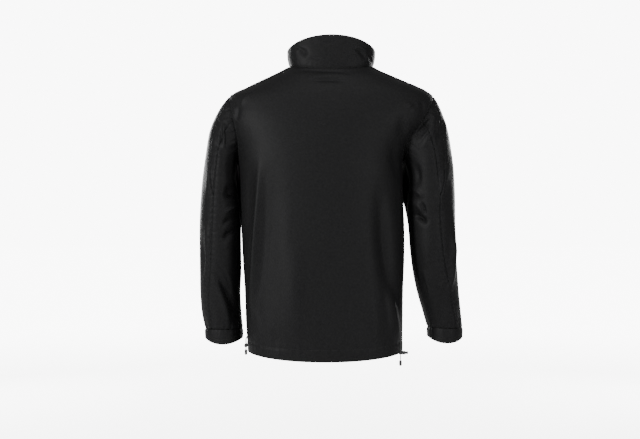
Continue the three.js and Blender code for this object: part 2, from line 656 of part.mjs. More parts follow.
const shiftedBox = (width, depth, height, x, y, z) => new THREE.BoxGeometry(width, depth, height).translate(x, y, z);

function makeZip() {
  const tapeBottom = HEM_Z + ZIP_BOX_HEIGHT + 3;
  const edge = ZIP_CHAIN_HALF + SEAM_GAP;
  const tape = [-SEAM_GAP, ZIP_TAPE_THICKNESS, blackCloth];
  zipStrip("zip_tape_right", tapeBottom, edge, edge + ZIP_TAPE_WIDTH, 3, ...tape);
  zipStrip("zip_tape_left", tapeBottom, -edge - ZIP_TAPE_WIDTH, -edge, 3, ...tape);
  const chainOut = 0.5;
  const chain = [chainOut, ZIP_CHAIN_THICKNESS, zipMaterial];
  zipStrip("zip_chain", tapeBottom, -ZIP_CHAIN_HALF, ZIP_CHAIN_HALF, 1, ...chain);

  const low = HEM_Z + 1 + ZIP_BOX_HEIGHT / 2;
  const boxAngle = frontAngle(bodyForm, low, zipX(low));
  const boxPoint = bodySurface(low, boxAngle);
  const box = shiftedBox(6.8, 3.4, ZIP_BOX_HEIGHT, boxPoint.x, boxPoint.y - 2, boxPoint.z);
  addPiece("zip_box", box, trimMaterial);

  const seat = collarForm(SLIDER_RISE, frontAngle(collarForm, SLIDER_RISE, 0));
  const up = collarForm(SLIDER_RISE + 0.05, 90).sub(collarForm(SLIDER_RISE - 0.05, 90)).setX(0).normalize();
  const out = new THREE.Vector3(1, 0, 0).cross(up).negate();
  const frame = new THREE.Matrix4().makeBasis(new THREE.Vector3(1, 0, 0), out, up).setPosition(seat);
  const back = chainOut - DOUBLE_CLOTH + SEAM_GAP;
  const front = back + SLIDER.thickness;
  const pinOut = front + 0.4 + EYE_RADIUS;
  const earWidth = 1;
  const earX = SLIDER.halfWidth - earWidth / 2;
  const earDepth = pinOut + 1.3 - front + 0.5;
  const pin = new THREE.CylinderGeometry(PIN_RADIUS, PIN_RADIUS, 2 * earX, 16);
  pin.rotateZ(Math.PI / 2).translate(0, pinOut, 2);
  const slider = fused([
    shiftedBox(2 * SLIDER.halfWidth, SLIDER.thickness, SLIDER.height, 0, (back + front) / 2, 0),
    shiftedBox(earWidth, earDepth, 3, earX, front - 0.5 + earDepth / 2, 2),
    shiftedBox(earWidth, earDepth, 3, -earX, front - 0.5 + earDepth / 2, 2),
    pin,
  ]);
  addPiece("zip_slider", slider.applyMatrix4(frame), metalMaterial);

  // The pull tab: an eye round the slider's pin and a flat plate hanging straight down from it.
  const half = TAB.thickness / 2;
  const start = Math.asin(half / EYE_RADIUS);
  const profile = new THREE.Shape();
  profile.absarc(0, 0, EYE_RADIUS, -Math.PI / 2 + start, 1.5 * Math.PI - start, false);
  profile.lineTo(-half, -TAB.length + half);
  profile.absarc(0, -TAB.length + half, half, Math.PI, 2 * Math.PI, false);
  profile.closePath();
  const hole = new THREE.Path();
  hole.absarc(0, 0, PIN_RADIUS + SEAM_GAP, 0, 2 * Math.PI, true);
  profile.holes.push(hole);
  const tab = new THREE.ExtrudeGeometry(profile, { depth: TAB.width, bevelEnabled: false, curveSegments: 8 });
  // The profile's plane turns upright: its first axis lies along +Y, its second along +Z.
  tab.translate(0, 0, -TAB.width / 2).rotateZ(Math.PI / 2).rotateY(Math.PI / 2);
  const pinPlace = new THREE.Vector3(0, pinOut, 2).applyMatrix4(frame);
  addPiece("zip_pull", tab.translate(pinPlace.x, pinPlace.y, pinPlace.z), metalMaterial);
}

// A round section swept along a route, with closed ends.
function roundCord(route, radius) {
  const curve = new THREE.CatmullRomCurve3(route.map((point) => new THREE.Vector3(point.x, point.y, point.z)));
  const section = new THREE.Shape();
  section.absarc(0, 0, radius, 0, 2 * Math.PI, false);
  return new THREE.ExtrudeGeometry(section, { steps: 10, curveSegments: 4, extrudePath: curve });
}

// A barrel lock with its plunger, lying level, and the upright hole for the cord.
function makeLock(side, place) {
  const level = (radius, length, x) =>
    new THREE.CylinderGeometry(radius, radius, length, 20).rotateZ(Math.PI / 2).translate(x, 0, 0);
  const barrel = level(LOCK.radius, LOCK.length, 4);
  const plungerX = 4 + LOCK.length / 2 + LOCK.plungerLength / 2 - 1;
  const plunger = level(LOCK.plungerRadius, LOCK.plungerLength + 2, plungerX);
  const holeRadius = CORD_DIAMETER / 2 + SEAM_GAP;
  const hole = new THREE.CylinderGeometry(holeRadius, holeRadius, 4 * LOCK.radius, 16).rotateX(Math.PI / 2);
  const solid = asManifold(barrel).add(asManifold(plunger)).subtract(asManifold(hole)).getMesh();
  const geometry = new THREE.BufferGeometry();
  geometry.setAttribute("position", new THREE.Float32BufferAttribute(solid.vertProperties, 3));
  geometry.setIndex(Array.from(solid.triVerts));
  geometry.rotateZ(radians(place.turn)).translate(place.x, place.y, place.z);
  addPiece("cord_lock_" + side, geometry, trimMaterial);
}

function makeDrawcord(side, route, lock) {
  addPiece("cord_" + side, roundCord(route, CORD_DIAMETER / 2), cordMaterial);
  makeLock(side, lock);
  const end = route[route.length - 1];
  const bead = new THREE.CapsuleGeometry(BEAD.radius, BEAD.length - 2 * BEAD.radius, 4, 14).rotateX(Math.PI / 2);
  addPiece("cord_end_" + side, bead.translate(end.x, end.y, end.z - SEAM_GAP - BEAD.length / 2), trimMaterial);
}

makeBody();
makeCollar();
makeSleeve("right", RIGHT_SLEEVE_ROWS, RIGHT_SLEEVE_FOLDS);
makeSleeve("left", LEFT_SLEEVE_ROWS, LEFT_SLEEVE_FOLDS);
makeZip();
makeDrawcord("right", RIGHT_CORD, RIGHT_LOCK);
makeDrawcord("left", LEFT_CORD, LEFT_LOCK);

export default jacket;
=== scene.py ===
import bmesh
import bpy
import math
import numpy as np
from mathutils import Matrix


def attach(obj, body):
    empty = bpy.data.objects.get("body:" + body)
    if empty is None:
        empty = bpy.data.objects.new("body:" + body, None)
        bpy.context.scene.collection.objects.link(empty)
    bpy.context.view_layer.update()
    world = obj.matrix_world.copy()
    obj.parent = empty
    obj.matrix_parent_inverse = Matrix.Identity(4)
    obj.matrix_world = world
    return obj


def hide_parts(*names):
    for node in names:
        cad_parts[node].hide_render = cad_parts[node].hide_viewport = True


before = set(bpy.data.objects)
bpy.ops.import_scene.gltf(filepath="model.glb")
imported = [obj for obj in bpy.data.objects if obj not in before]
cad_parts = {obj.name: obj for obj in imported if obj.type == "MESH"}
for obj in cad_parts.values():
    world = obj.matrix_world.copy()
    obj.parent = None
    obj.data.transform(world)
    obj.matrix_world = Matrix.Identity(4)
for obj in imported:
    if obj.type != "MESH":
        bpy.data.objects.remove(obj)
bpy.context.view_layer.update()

# Camera: level, behind the jacket, at the photo's distance
camera = bpy.data.objects.new("camera", bpy.data.cameras.new("camera"))
camera.data.lens = 67.5
camera.data.sensor_width = 36
camera.location = (-0.0275, -3.0, -0.381)
camera.rotation_euler = (math.radians(90), 0, 0)
bpy.context.collection.objects.link(camera)
bpy.context.scene.camera = camera

# Sizes in millimetres, the same as the solids have
CLOTH = 2.0
DOUBLE_CLOTH = 3.0
SEAM_GAP = 0.3
SQUARE = 0.14
HEM_Z = -708.0
HEM_HEIGHT = 26.0
HEM_PROUD = 0.6
UNDERARM_Z = -230.0
SHOULDER_TIP_Z = -74.0
ARMHOLE_HALF_DEPTH = 66.0
SHOULDER_SEAM_TURN = 30.0
ZIP_OPENING = 4.0
ZIP_SHIFT = -18.0
COLLAR_BULGE = 2.5
ARMHOLE_BLEND = 0.2
ARMHOLE_ROWS = 11
ARM_STEPS = 22
GORE_OUTER_START, GORE_INNER_START = 2.0, 5.0
BACK_SEAM_END, BACK_SEAM_ELBOW = 3.4, 4.6
FRONT_SEAM = ARM_STEPS - 6
GORE_SHARE = 8 / 20
CUFF_BACK_HEIGHT, CUFF_SIDE_HEIGHT, CUFF_PROUD = 37.0, 23.0, 1.2
CORD_DIAMETER = 2.5
NECK_LAP, CUFF_LAP = 1.2, 2.0

# Topstitched rows, by their distance from the edge beside them, and how they and the seams shape the cloth
BODY_STITCH_ROWS, SLEEVE_STITCH_ROWS, CUFF_STITCH_ROWS = (2.0, 7.0), (2.0, 8.0), (6.0, 12.0)
COLLAR_STITCH_ROW = ZIP_STITCH_ROW = 5.0
SEAM_SINK_WIDTH = 2.4
ROW_SINK, ROW_SINK_WIDTH, ROW_RISE, ROW_RISE_WIDTH = 0.5, 0.9, 0.35, 2.2
HEM_SINK, HEM_SINK_WIDTH = 0.8, 1.2
SIDE_SEAM_SHARE = 0.4  # the side seams' shape is this part of the armholes'

# How finely each piece is cut, in rows or columns
SKIRT_ROWS, ARMHOLE_CUTS, SHOULDER_ROWS = 151, 56, 33
BACK_COLUMNS, FRONT_COLUMNS, COLLAR_COLUMNS, COLLAR_ROWS = 150, 70, 241, 37
SLEEVE_ROWS, CUFF_COLUMNS, CUFF_ROWS = 201, 168, 25
SLEEVE_COLUMNS = {"outer": 70, "under": 90, "gore": 26}

# The drawcords' routes, from the hem through the lock's hole to the bead: x, y, z
RIGHT_CORD = np.array([(173.2, -8, z) for z in (-697, -706, -714, -722, -731)], float)
LEFT_CORD = np.array([
    (-210.2, 14, -675),
    (-212.4, 14, -677.5),
    (-213.4, 14, -681),
    (-213.4, 14, -688),
    (-213.4, 14, -697),
    (-213.4, 14, -706),
], float)

# z, left, right, back, front, back drop, front drop
BODY_ROWS = np.array([
    (-708, -207, 178, -117, 126, 17, 9),
    (-640, -212, 179, -121, 129, 10, 6),
    (-560, -215, 180, -124, 131, 4, 2),
    (-480, -220, 183, -127, 133, 0, 0),
    (-400, -224, 183, -129, 135, 0, 0),
    (-330, -226, 180, -131, 137, 0, 0),
    (-275, -229, 179, -133, 138, 0, 0),
    (-230, -234, 181, -133, 137, 0, 2),
    (-200, -241, 193, -132, 135, 0, 5),
    (-170, -253, 218, -130, 132, 0, 11),
    (-140, -264, 245, -127, 127, 1, 20),
    (-110, -265, 259, -122, 119, 3, 31),
    (-74, -252, 254, -113, 105, 5, 47),
    (-53, -212, 222, -106, 96, 7, 57),
    (-38, -181, 187, -99, 88, 8, 65),
    (-22, -147, 150, -91, 78, 9, 72),
    (-9, -121, 120, -82, 70, 10, 77),
    (0, -104, 105, -76, 64, 11, 80),
], float)
COLLAR_TOP = {"left": -109, "right": 110, "back": -70, "front": 70, "back_z": 72, "side_z": 41, "front_z": -4}

# outer x, outer z, inner x, inner z, y, half depth, tuck
RIGHT_SLEEVE_ROWS = np.array([
    (268, -86, 188, -240, 3, 70, 4),
    (281, -112, 191, -256, 4, 76, 14),
    (292, -156, 193, -278, 5, 78, 24),
    (302, -216, 193, -302, 6, 77, 27),
    (309, -286, 191, -332, 7, 75, 20),
    (311, -350, 191, -365, 7, 72, 8),
    (311, -402, 194, -405, 7, 69, 0),
    (312, -455, 198, -456, 9, 66, 0),
    (317, -508, 205, -508, 15, 62, 0),
    (322, -562, 216, -560, 24, 58, 0),
    (328, -612, 231, -610, 34, 54, 0),
    (333, -654, 244, -652, 42, 50, 0),
], float)
LEFT_SLEEVE_ROWS = np.array([
    (-267, -88, -238, -242, 3, 70, 3),
    (-289, -114, -239, -258, 4, 76, 8),
    (-303, -158, -237, -282, 5, 79, 14),
    (-313, -216, -234, -306, 6, 79, 17),
    (-322, -284, -230.5, -336, 7, 77, 15),
    (-327, -348, -228, -366, 7, 74, 9),
    (-329, -402, -226.5, -406, 7, 70, 4),
    (-329, -456, -225, -458, 9, 66, 0),
    (-329, -510, -225, -512, 15, 62, 0),
    (-329, -562, -228, -562, 24, 58, 0),
    (-326, -614, -226, -614, 34, 54, 0),
    (-318, -656, -223, -656, 42, 50, 0),
], float)

# Folds and creases: top x, top z, lower x, lower z, bow, width, height
BACK_FOLDS = [
    (-172, -205, -206, -690, 9, 15, 10),
    (-198, -235, -216, -480, 4, 12, -6),
    (-140, -230, -166, -640, 6, 24, -6),
    (118, -270, 168, -660, -12, 24, -10),
    (138, -530, 168, -690, 4, 11, 8),
    (158, -560, 174, -680, 2, 10, -4),
    (186, -112, 176, -205, -6, 15, -5),
    (-88, -420, -92, -705, 0, 26, 5),
    (30, -380, 20, -700, 0, 40, -4),
    (-70, -30, 62, -28, 10, 7, -2),
    (-48, -50, 44, -47, 8, 8, -2.2),
]
BACK_CREASES = [
    (-107, -20, 35, -24, 5, 3.6, -2),
    (-66, -46, 38, -48, 4, 3.6, -1.7),
    (-214, -86, -232, -160, -6, 6.3, -4.1),
    (-196, -70, -226, -118, -5, 5.4, 2.7),
    (214, -88, 224, -130, 5, 5.4, -3.7),
    (172, -120, 190, -176, 4, 7.2, 3.1),
    (150, -180, 172, -300, -6, 10.8, -3.7),
    (168, -262, 174, -420, 2, 7.2, 3.1),
    (-204, -560, -196, -690, 4, 6.3, -3.7),
    (-184, -600, -178, -700, 2, 8.1, 2.7),
    (96, -560, 112, -708, 3, 14.4, 2.7),
    (-20, -600, -24, -708, 2, 18, -2),
    (-140, -640, -132, -708, 2, 10.8, -2),
    (60, -640, 64, -708, -2, 10.8, 1.7),
    (-173, -222, -200, -704, 2, 5, 5.4),
    (-185, -240, -210, -640, 2, 7, -4.0),
    (-159, -232, -184, -660, 3, 9, -4.4),
    (118, -290, 160, -600, -8, 14, -5),
    (134, -540, 152, -690, 2, 6, 2.4),
    (176, -96, 206, -120, 3, 4, 2.2),
    (186, -118, 214, -104, 3, 3.5, -2.0),
    (-250, -92, -226, -112, 3, 4, -2.2),
    (-246, -126, -226, -150, 3, 4, 2.0),
]
FRONT_FOLDS = [
    (-165, -250, -190, -640, 8, 22, 8),
    (130, -260, 152, -650, -8, 22, 8),
    (-95, -300, -110, -680, 0, 30, -5),
    (80, -320, 92, -690, 0, 30, -5),
    (-190, -110, -168, -200, 6, 16, -5),
    (186, -112, 160, -200, -6, 16, -5),
]
FRONT_CREASES = [
    (-120, -70, -190, -150, 8, 7.2, -2.8),
    (118, -68, 180, -150, -8, 7.2, -2.5),
    (-200, -560, -188, -690, 4, 7.2, -2.8),
    (160, -540, 150, -690, -3, 8.1, -3.1),
    (-60, -500, -66, -700, 3, 12.6, 2.2),
    (44, -470, 52, -700, -3, 12.6, 2),
    (-150, -230, -170, -330, 5, 8.1, 2.8),
    (128, -236, 150, -350, -5, 8.1, 2.5),
]
LEFT_SLEEVE_FOLDS = [
    (-228, -290, -262, -335, -4, 9, -6),
    (-226, -370, -268, -405, -4, 9, -6),
    (-232, -408, -270, -436, -3, 8, -5),
    (-286, -500, -237, -650, 9, 10, -9),
    (-296, -520, -254, -650, 9, 9, 6),
    (-288, -140, -268, -190, -3, 8, -4),
]
LEFT_SLEEVE_CREASES = [
    (-256, -318, -226, -332, -2, 4, -5.2),
    (-226, -346, -262, -366, -2, 4, 4.4),
    (-281, -132, -272, -160, -2, 3.2, -2.2),
    (-285, -158, -272, -186, -2, 3.2, 1.9),
    (-283, -186, -272, -212, -2, 3.2, -1.9),
    (-282, -480, -246, -566, 4, 4.8, -4.8),
    (-262, -560, -238, -640, 3, 4.8, 4),
    (-318, -420, -322, -540, 3, 6.4, -3.6),
    (-300, -240, -306, -330, 3, 7.2, 3.6),
    (-306, -380, -312, -470, 3, 6.4, 3),
    (-300, -600, -296, -650, 2, 5.6, -3.6),
    (-263, -140, -262, -212, 1, 2.6, 4.5),
    (-271, -142, -270, -214, 1, 3, -3.5),
    (-285, -150, -268, -178, -2, 3, 1.6),
    (-286, -172, -270, -200, -2, 3, -1.7),
    (-284, -200, -268, -226, -2, 3, 1.4),
    (-268, -408, -230, -378, 3, 5, 3.6),
    (-262, -428, -228, -400, 3, 5, -4),
    (-256, -332, -228, -318, 2, 4, -3.4),
    (-288, -512, -240, -622, 4, 5, -4.2),
    (-278, -488, -250, -560, 3, 5, 3.2),
]
RIGHT_SLEEVE_FOLDS = [
    (190, -330, 232, -372, 4, 8, 4),
    (194, -362, 240, -396, 4, 9, -5),
    (288, -250, 262, -370, -5, 10, 6),
    (298, -340, 290, -590, 9, 9, 7),
    (264, -112, 258, -210, 4, 7, -4),
    (276, -112, 274, -200, 3, 6, -3.5),
    (262, -540, 280, -620, 3, 11, -4),
]
RIGHT_SLEEVE_CREASES = [
    (202, -366, 234, -392, 2, 4, -4.8),
    (218, -336, 231, -372, 2, 4, -4),
    (196, -300, 226, -330, 2, 5.6, 4.4),
    (210, -190, 250, -130, 4, 7.2, -6),
    (224, -210, 262, -150, 4, 6.4, 4.8),
    (262, -536, 280, -568, 2, 4.8, 3.6),
    (240, -440, 262, -520, 3, 7.2, -4),
    (226, -500, 246, -590, 3, 6.4, 4),
    (300, -200, 304, -290, 3, 5.6, 3.2),
    (268, -590, 276, -648, 2, 5.6, -3.6),
    (304, -590, 312, -648, 2, 5.6, 3),
    (206, -240, 214, -300, 3, 6.4, -4.4),
    (203, -182, 256, -126, 4, 4, -4.4),
    (214, -196, 262, -140, 3, 4, 3.4),
    (203, -372, 234, -392, 2, 3.5, -3.6),
    (220, -338, 231, -372, 2, 3.5, -3.0),
    (296, -418, 302, -486, 2, 5, 3.4),
    (302, -486, 290, -566, 2, 5, 3.0),
    (284, -120, 280, -180, 2, 3.5, 2.8),
    (272, -120, 268, -190, 2, 3.5, -2.8),
]
COLLAR_FOLDS = [
    (-82, 36, -58, 16, 4, 8, -4),
    (62, 40, 86, 8, 4, 7, -4),
    (86, 42, 100, 4, 4, 6, -4.5),
]
COLLAR_CREASES = [
    (-20, 50, 10, 46, 2, 3.5, -1.4),
    (30, 20, 66, 14, 2, 3.5, 1.6),
    (-60, 14, -20, 8, 2, 2.8, -1.4),
    (92, 34, 104, 10, 2, 2.1, 2.2),
    (-98, 30, -92, 6, 2, 2.8, -2.5),
    (-102, 46, -62, 22, 6, 3.5, -2.4),
    (48, 42, 86, 12, 4, 3, -2.2),
    (64, 44, 96, 20, 3, 2.6, 2.2),
    (86, 40, 102, 2, 2, 2.6, -3.0),
]


def ease(t):
    t = np.clip(t, 0, 1)
    return t * t * (3 - 2 * t)


def blend(a, b, t):
    return a + (b - a) * t


def unit(v):
    return v / np.maximum(np.linalg.norm(v, axis=-1, keepdims=True), 1e-9)


def hump(distance, width):
    return np.exp(-((distance / width) ** 2))


def run_along(line):
    """How far each point of a line lies from its start, along the line."""
    return np.concatenate([[0], np.cumsum(np.linalg.norm(np.diff(line, axis=0), axis=1))])


def column(keys, values, place):
    """A value read off a smooth curve through a table's rows."""
    last = len(keys) - 1
    place = np.clip(place, keys[0], keys[-1])
    i = np.clip(np.searchsorted(keys, place, side="right") - 1, 0, last - 1)
    before, after = np.maximum(np.arange(last + 1) - 1, 0), np.minimum(np.arange(last + 1) + 1, last)
    slopes = (values[after] - values[before]) / (keys[after] - keys[before])
    step = keys[i + 1] - keys[i]
    t = (place - keys[i]) / step
    return (values[i] * (1 + 2 * t) * (1 - t) ** 2 + values[i + 1] * t * t * (3 - 2 * t)
            + slopes[i] * step * t * (1 - t) ** 2 - slopes[i + 1] * step * t * t * (1 - t))


def in_scene(name, data):
    made = bpy.data.objects.new(name, data)
    bpy.context.collection.objects.link(made)
    return made


def smooth(mesh, sharp_angle=60):
    mesh.polygons.foreach_set("use_smooth", np.ones(len(mesh.polygons), bool))
    mesh.set_sharp_from_angle(angle=math.radians(sharp_angle))


# Materials
def add_node(tree, kind, inputs=(), **settings):
    """A new node: its settings, then a value or a link for each input named."""
    made = tree.nodes.new(kind)
    for name, value in settings.items():
        setattr(made, name, value)
    for socket, value in dict(inputs).items():
        if isinstance(value, bpy.types.NodeSocket):
            tree.links.new(value, made.inputs[socket])
        else:
            made.inputs[socket].default_value = value
    return made


def grey(value, blue=0.0):
    return value, value, value + blue


def material(name, colour, roughness, specular=0.4, metallic=0.0, ior=1.5):
    made = bpy.data.materials.new(name)
    made.use_nodes = True
    shader = made.node_tree.nodes["Principled BSDF"]
    for socket, value in {"Base Color": (*colour, 1), "Roughness": roughness, "Metallic": metallic,
                          "Specular IOR Level": specular, "IOR": ior}.items():
        shader.inputs[socket].default_value = value
    return made, made.node_tree, shader


def mottle(tree, shader, scale, dark, light):
    """Lets a shader's colour vary a little from place to place; gives the grain that it follows."""
    place = add_node(tree, "ShaderNodeTexCoord")
    grain = add_node(tree, "ShaderNodeTexNoise",
                     {"Scale": scale, "Detail": 4.0, "Vector": place.outputs["Object"]}).outputs["Fac"]
    tint = add_node(tree, "ShaderNodeValToRGB", {"Fac": grain})
    for end, position, colour in zip(tint.color_ramp.elements, (0.3, 0.72), (dark, light)):
        end.position, end.color = position, (*colour, 1)
    tree.links.new(tint.outputs["Color"], shader.inputs["Base Color"])
    return grain


def relief(tree, shader, height, strength, distance, under=None):
    """Bumps on a shader, over the bumps of an earlier node where one is given."""
    bump = add_node(tree, "ShaderNodeBump", {"Strength": strength, "Distance": distance, "Height": height})
    if under:
        tree.links.new(under.outputs["Normal"], bump.inputs["Normal"])
    tree.links.new(bump.outputs["Normal"], shader.inputs["Normal"])
    return bump


def mottled(name, dark, light, roughness, scale, bump, specular=0.4, metallic=0.0, ior=1.5):
    """A finish whose colour and surface vary a little from place to place."""
    made, tree, shader = material(name, dark, roughness, specular, metallic, ior)
    relief(tree, shader, mottle(tree, shader, scale, dark, light), 0.4, bump)
    return made


def crossed_waves(tree, angles, scales, distortion):
    """Two sets of fine ribs that cross, as in a braid or a weave; scales are in ribs to 2 pi metres."""
    place = add_node(tree, "ShaderNodeTexCoord")
    heights = []
    for angle, scale in zip(angles, scales):
        turned = add_node(tree, "ShaderNodeMapping",
                          {"Rotation": (0, 0, angle), "Vector": place.outputs["UV"]})
        wave = add_node(tree, "ShaderNodeTexWave", {"Scale": scale / 6.28, "Distortion": distortion,
                                                    "Detail": 1.0, "Vector": turned.outputs["Vector"]})
        heights.append(wave.outputs["Fac"])
    return add_node(tree, "ShaderNodeMath", dict(enumerate(heights)), operation="MULTIPLY").outputs[0]


def woven(name, colour, roughness, specular, ior, angles, scales, distortion, strength, distance):
    """A braid's or a woven band's finish."""
    made, tree, shader = material(name, colour, roughness, specular, ior=ior)
    relief(tree, shader, crossed_waves(tree, angles, scales, distortion), strength, distance)
    return made


cord_look = woven("drawcord_braid", grey(0.006), 0.7, 0.3, 1.3,
                  (0.8, -0.8), (2600.0, 2600.0), 0.2, 0.7, 0.0004)
trim_look = mottled("moulded_trim", grey(0.006), grey(0.009), 0.55, 900.0, 0.00008, 0.25)
lacquer_look = mottled("black_lacquer", grey(0.008), grey(0.014), 0.42, 500.0, 0.00005, metallic=0.3)


def add_piece(name, mesh, look, body="jacket", nodes=()):
    """Links a finished mesh as a piece of the jacket."""
    mesh.materials.clear()
    mesh.materials.append(look)
    piece = in_scene(name, mesh)
    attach(piece, body)
    if nodes:
        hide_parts(*nodes)
    return piece


def softened(name, node, width, look, body="jacket"):
    """A CAD node's shape with its edges rounded."""
    work = bmesh.new()
    work.from_mesh(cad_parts[node].data)
    bmesh.ops.remove_doubles(work, verts=work.verts, dist=1e-6)
    bmesh.ops.dissolve_limit(work, angle_limit=math.radians(1), verts=work.verts, edges=work.edges)
    sharp = [edge for edge in work.edges
             if len(edge.link_faces) == 2 and edge.calc_face_angle() > math.radians(40)]
    bmesh.ops.bevel(work, geom=sharp, offset=width / 1000, segments=2, profile=0.6,
                    affect="EDGES", clamp_overlap=True)
    bmesh.ops.triangulate(work, faces=[face for face in work.faces if len(face.verts) > 4])
    bmesh.ops.recalc_face_normals(work, faces=work.faces)
    mesh = bpy.data.meshes.new(name)
    work.to_mesh(mesh)
    work.free()
    smooth(mesh, 35)
    return add_piece(name, mesh, look, body, (node,))


# Drawcord ends
def along_route(route, count=20):
    """Even places on a smooth curve through a cord's route."""
    run = run_along(route)
    place = np.linspace(0, run[-1], count)
    return np.stack([column(run, route[:, n], place) for n in range(3)], -1)


def round_tube(name, line, radius, sides=12):
    """A closed round cord along a line of points, with a UV map in metres."""
    tangent = unit(np.gradient(line, axis=0))
    side = unit(np.cross(tangent, np.array([0.0, 1.0, 0.0])))
    other = np.cross(side, tangent)
    turn = np.linspace(0, 2 * math.pi, sides, endpoint=False)
    ring = np.cos(turn)[None, :, None] * side[:, None] + np.sin(turn)[None, :, None] * other[:, None]
    points = (line[:, None] + radius * ring).reshape(-1, 3) / 1000
    count = len(line)
    faces, places = [], []
    width = 2 * math.pi * radius / 1000 / sides
    run = run_along(line) / 1000
    for i in range(count - 1):
        for j in range(sides):
            k = (j + 1) % sides
            faces.append((i * sides + j, (i + 1) * sides + j, (i + 1) * sides + k, i * sides + k))
            u, v = j * width, (j + 1) * width
            places += [(u, run[i]), (u, run[i + 1]), (v, run[i + 1]), (v, run[i])]
    for row, order in ((0, range(sides)), (count - 1, reversed(range(sides)))):
        faces.append(tuple(row * sides + j for j in order))
        places += [(0.0, run[row])] * sides
    mesh = bpy.data.meshes.new(name)
    mesh.from_pydata(points.tolist(), [], faces)
    mesh.uv_layers.new(name="cloth").data.foreach_set("uv", np.array(places).ravel())
    smooth(mesh)
    return mesh


def make_drawcord(side, route):
    line = along_route(route)
    name = f"drawcord_{side}"
    cord = add_piece(name, round_tube(name, line, CORD_DIAMETER / 2), cord_look,
                     nodes=(f"cord_{side}",))
    lock = softened(f"barrel_lock_{side}", f"cord_lock_{side}", 0.8, trim_look)
    bead = softened(f"cord_bead_{side}", f"cord_end_{side}", 0.1, trim_look)


make_drawcord("right", RIGHT_CORD)
make_drawcord("left", LEFT_CORD)


def fold_height(folds, x, z):
    """How far the folds push the cloth out at points seen from behind or in front."""
    total = np.zeros(np.broadcast(x, z).shape)
    for x1, z1, x2, z2, bow, width, height in folds:
        run_x, run_z = x2 - x1, z2 - z1
        length = math.hypot(run_x, run_z)
        along = ((x - x1) * run_x + (z - z1) * run_z) / length**2
        across = ((x - x1) * -run_z + (z - z1) * run_x) / length
        inside = np.clip(along, 0, 1)
        offset = across - 4 * bow * inside * (1 - inside)
        total += height * np.sin(math.pi * inside) ** 1.3 * hump(offset, width)
    return total


def ring_point(left, right, depth, z, c, s):
    """A point of a level ring, a little squarer than an ellipse."""
    return np.stack(np.broadcast_arrays(
        (left + right) / 2 + (right - left) / 2 * c * (1 + SQUARE * s * s),
        depth * s * (1 + SQUARE * c * c),
        z,
    ), axis=-1)


def body_form(z, angle):
    keys = BODY_ROWS[:, 0]
    left, right, back, front, back_drop, front_drop = (
        column(keys, BODY_ROWS[:, n], z) for n in range(1, 7))
    c, s = np.cos(np.radians(angle)), np.sin(np.radians(angle))
    depth, drop = np.where(s >= 0, front, -back), np.where(s >= 0, front_drop, back_drop)
    return ring_point(left, right, depth, z - drop * s * s, c, s)


def collar_form(rise, angle):
    base = body_form(np.zeros_like(rise + 0.0), angle)
    c, s = np.cos(np.radians(angle)), np.sin(np.radians(angle))
    t = COLLAR_TOP
    top = ring_point(t["left"], t["right"], np.where(s >= 0, t["front"], -t["back"]),
                     blend(t["side_z"], np.where(s >= 0, t["front_z"], t["back_z"]), s * s), c, s)
    point = blend(base, top, np.asarray(rise)[..., None])
    bulge = COLLAR_BULGE * np.sin(math.pi * rise)
    point[..., 0] += bulge * c
    point[..., 1] += bulge * s
    return point


def outward(form, a, b, da, db):
    return unit(np.cross(form(a, b + db) - form(a, b - db), form(a + da, b) - form(a - da, b)))


def seam_way(points, first_out, out):
    """Where seams push the cloth: its neighbour's way out at the first row, its own further down."""
    near = ease(np.linalg.norm(points - points[:1], axis=-1) / 9)
    return unit(blend(first_out[None], out, near[..., None]))


def body_out(z, angle):
    return outward(body_form, np.clip(z, HEM_Z + 1, -1), angle, 1.0, 0.5)


def collar_out(rise, angle):
    return outward(collar_form, np.clip(rise, 0.03, 0.97), angle, 0.02, 0.5)


def halved(low, high, is_low):
    """Bounds of the place where a test stops being true, halved 40 times."""
    for _ in range(40):
        middle = (low + high) / 2
        below = is_low(middle)
        low, high = np.where(below, middle, low), np.where(below, high, middle)
    return low, high


def depth_angle(z, y, right_side):
    """The angle at one side where the body is as deep as y says."""
    def turn(a):
        return np.where(y < 0, -a, a) if right_side else np.where(y < 0, 180 + a, 180 - a)
    near = halved(np.zeros_like(z), np.full_like(z, 80.0),
                  lambda middle: np.abs(body_form(z, turn(middle))[..., 1]) < np.abs(y))[0]
    return turn(near)


def side_edge(z, right_side, behind):
    """The body panels' edge at the side: the side seam, then the armhole, then the shoulder seam."""
    z = np.asarray(z, float)
    side = 0.0 if right_side else 180.0
    middle, half = (UNDERARM_Z + SHOULDER_TIP_Z) / 2, (SHOULDER_TIP_Z - UNDERARM_Z) / 2
    share = np.sqrt(np.maximum(0, 1 - ((z - middle) / half) ** 2))
    armhole = depth_angle(z, (-1 if behind else 1) * share * ARMHOLE_HALF_DEPTH, right_side)
    turn = SHOULDER_SEAM_TURN * (1 - np.clip(z / SHOULDER_TIP_Z, 0, 1) ** 3)
    shoulder = side - turn if right_side else side + turn
    return np.where(z <= UNDERARM_Z, side, np.where(z >= SHOULDER_TIP_Z, shoulder, armhole))


def front_angle(form, height, x):
    """The angle in front where a form is as far to the side as x says."""
    return sum(halved(np.full_like(height, 50.0), np.full_like(height, 130.0),
                      lambda middle: form(height, middle)[..., 0] > x)) / 2


def zip_x(z):
    """The zip's line: it runs down from the neck and a little to the wearer's left."""
    return ZIP_SHIFT * ease((-z - 10) / 260)


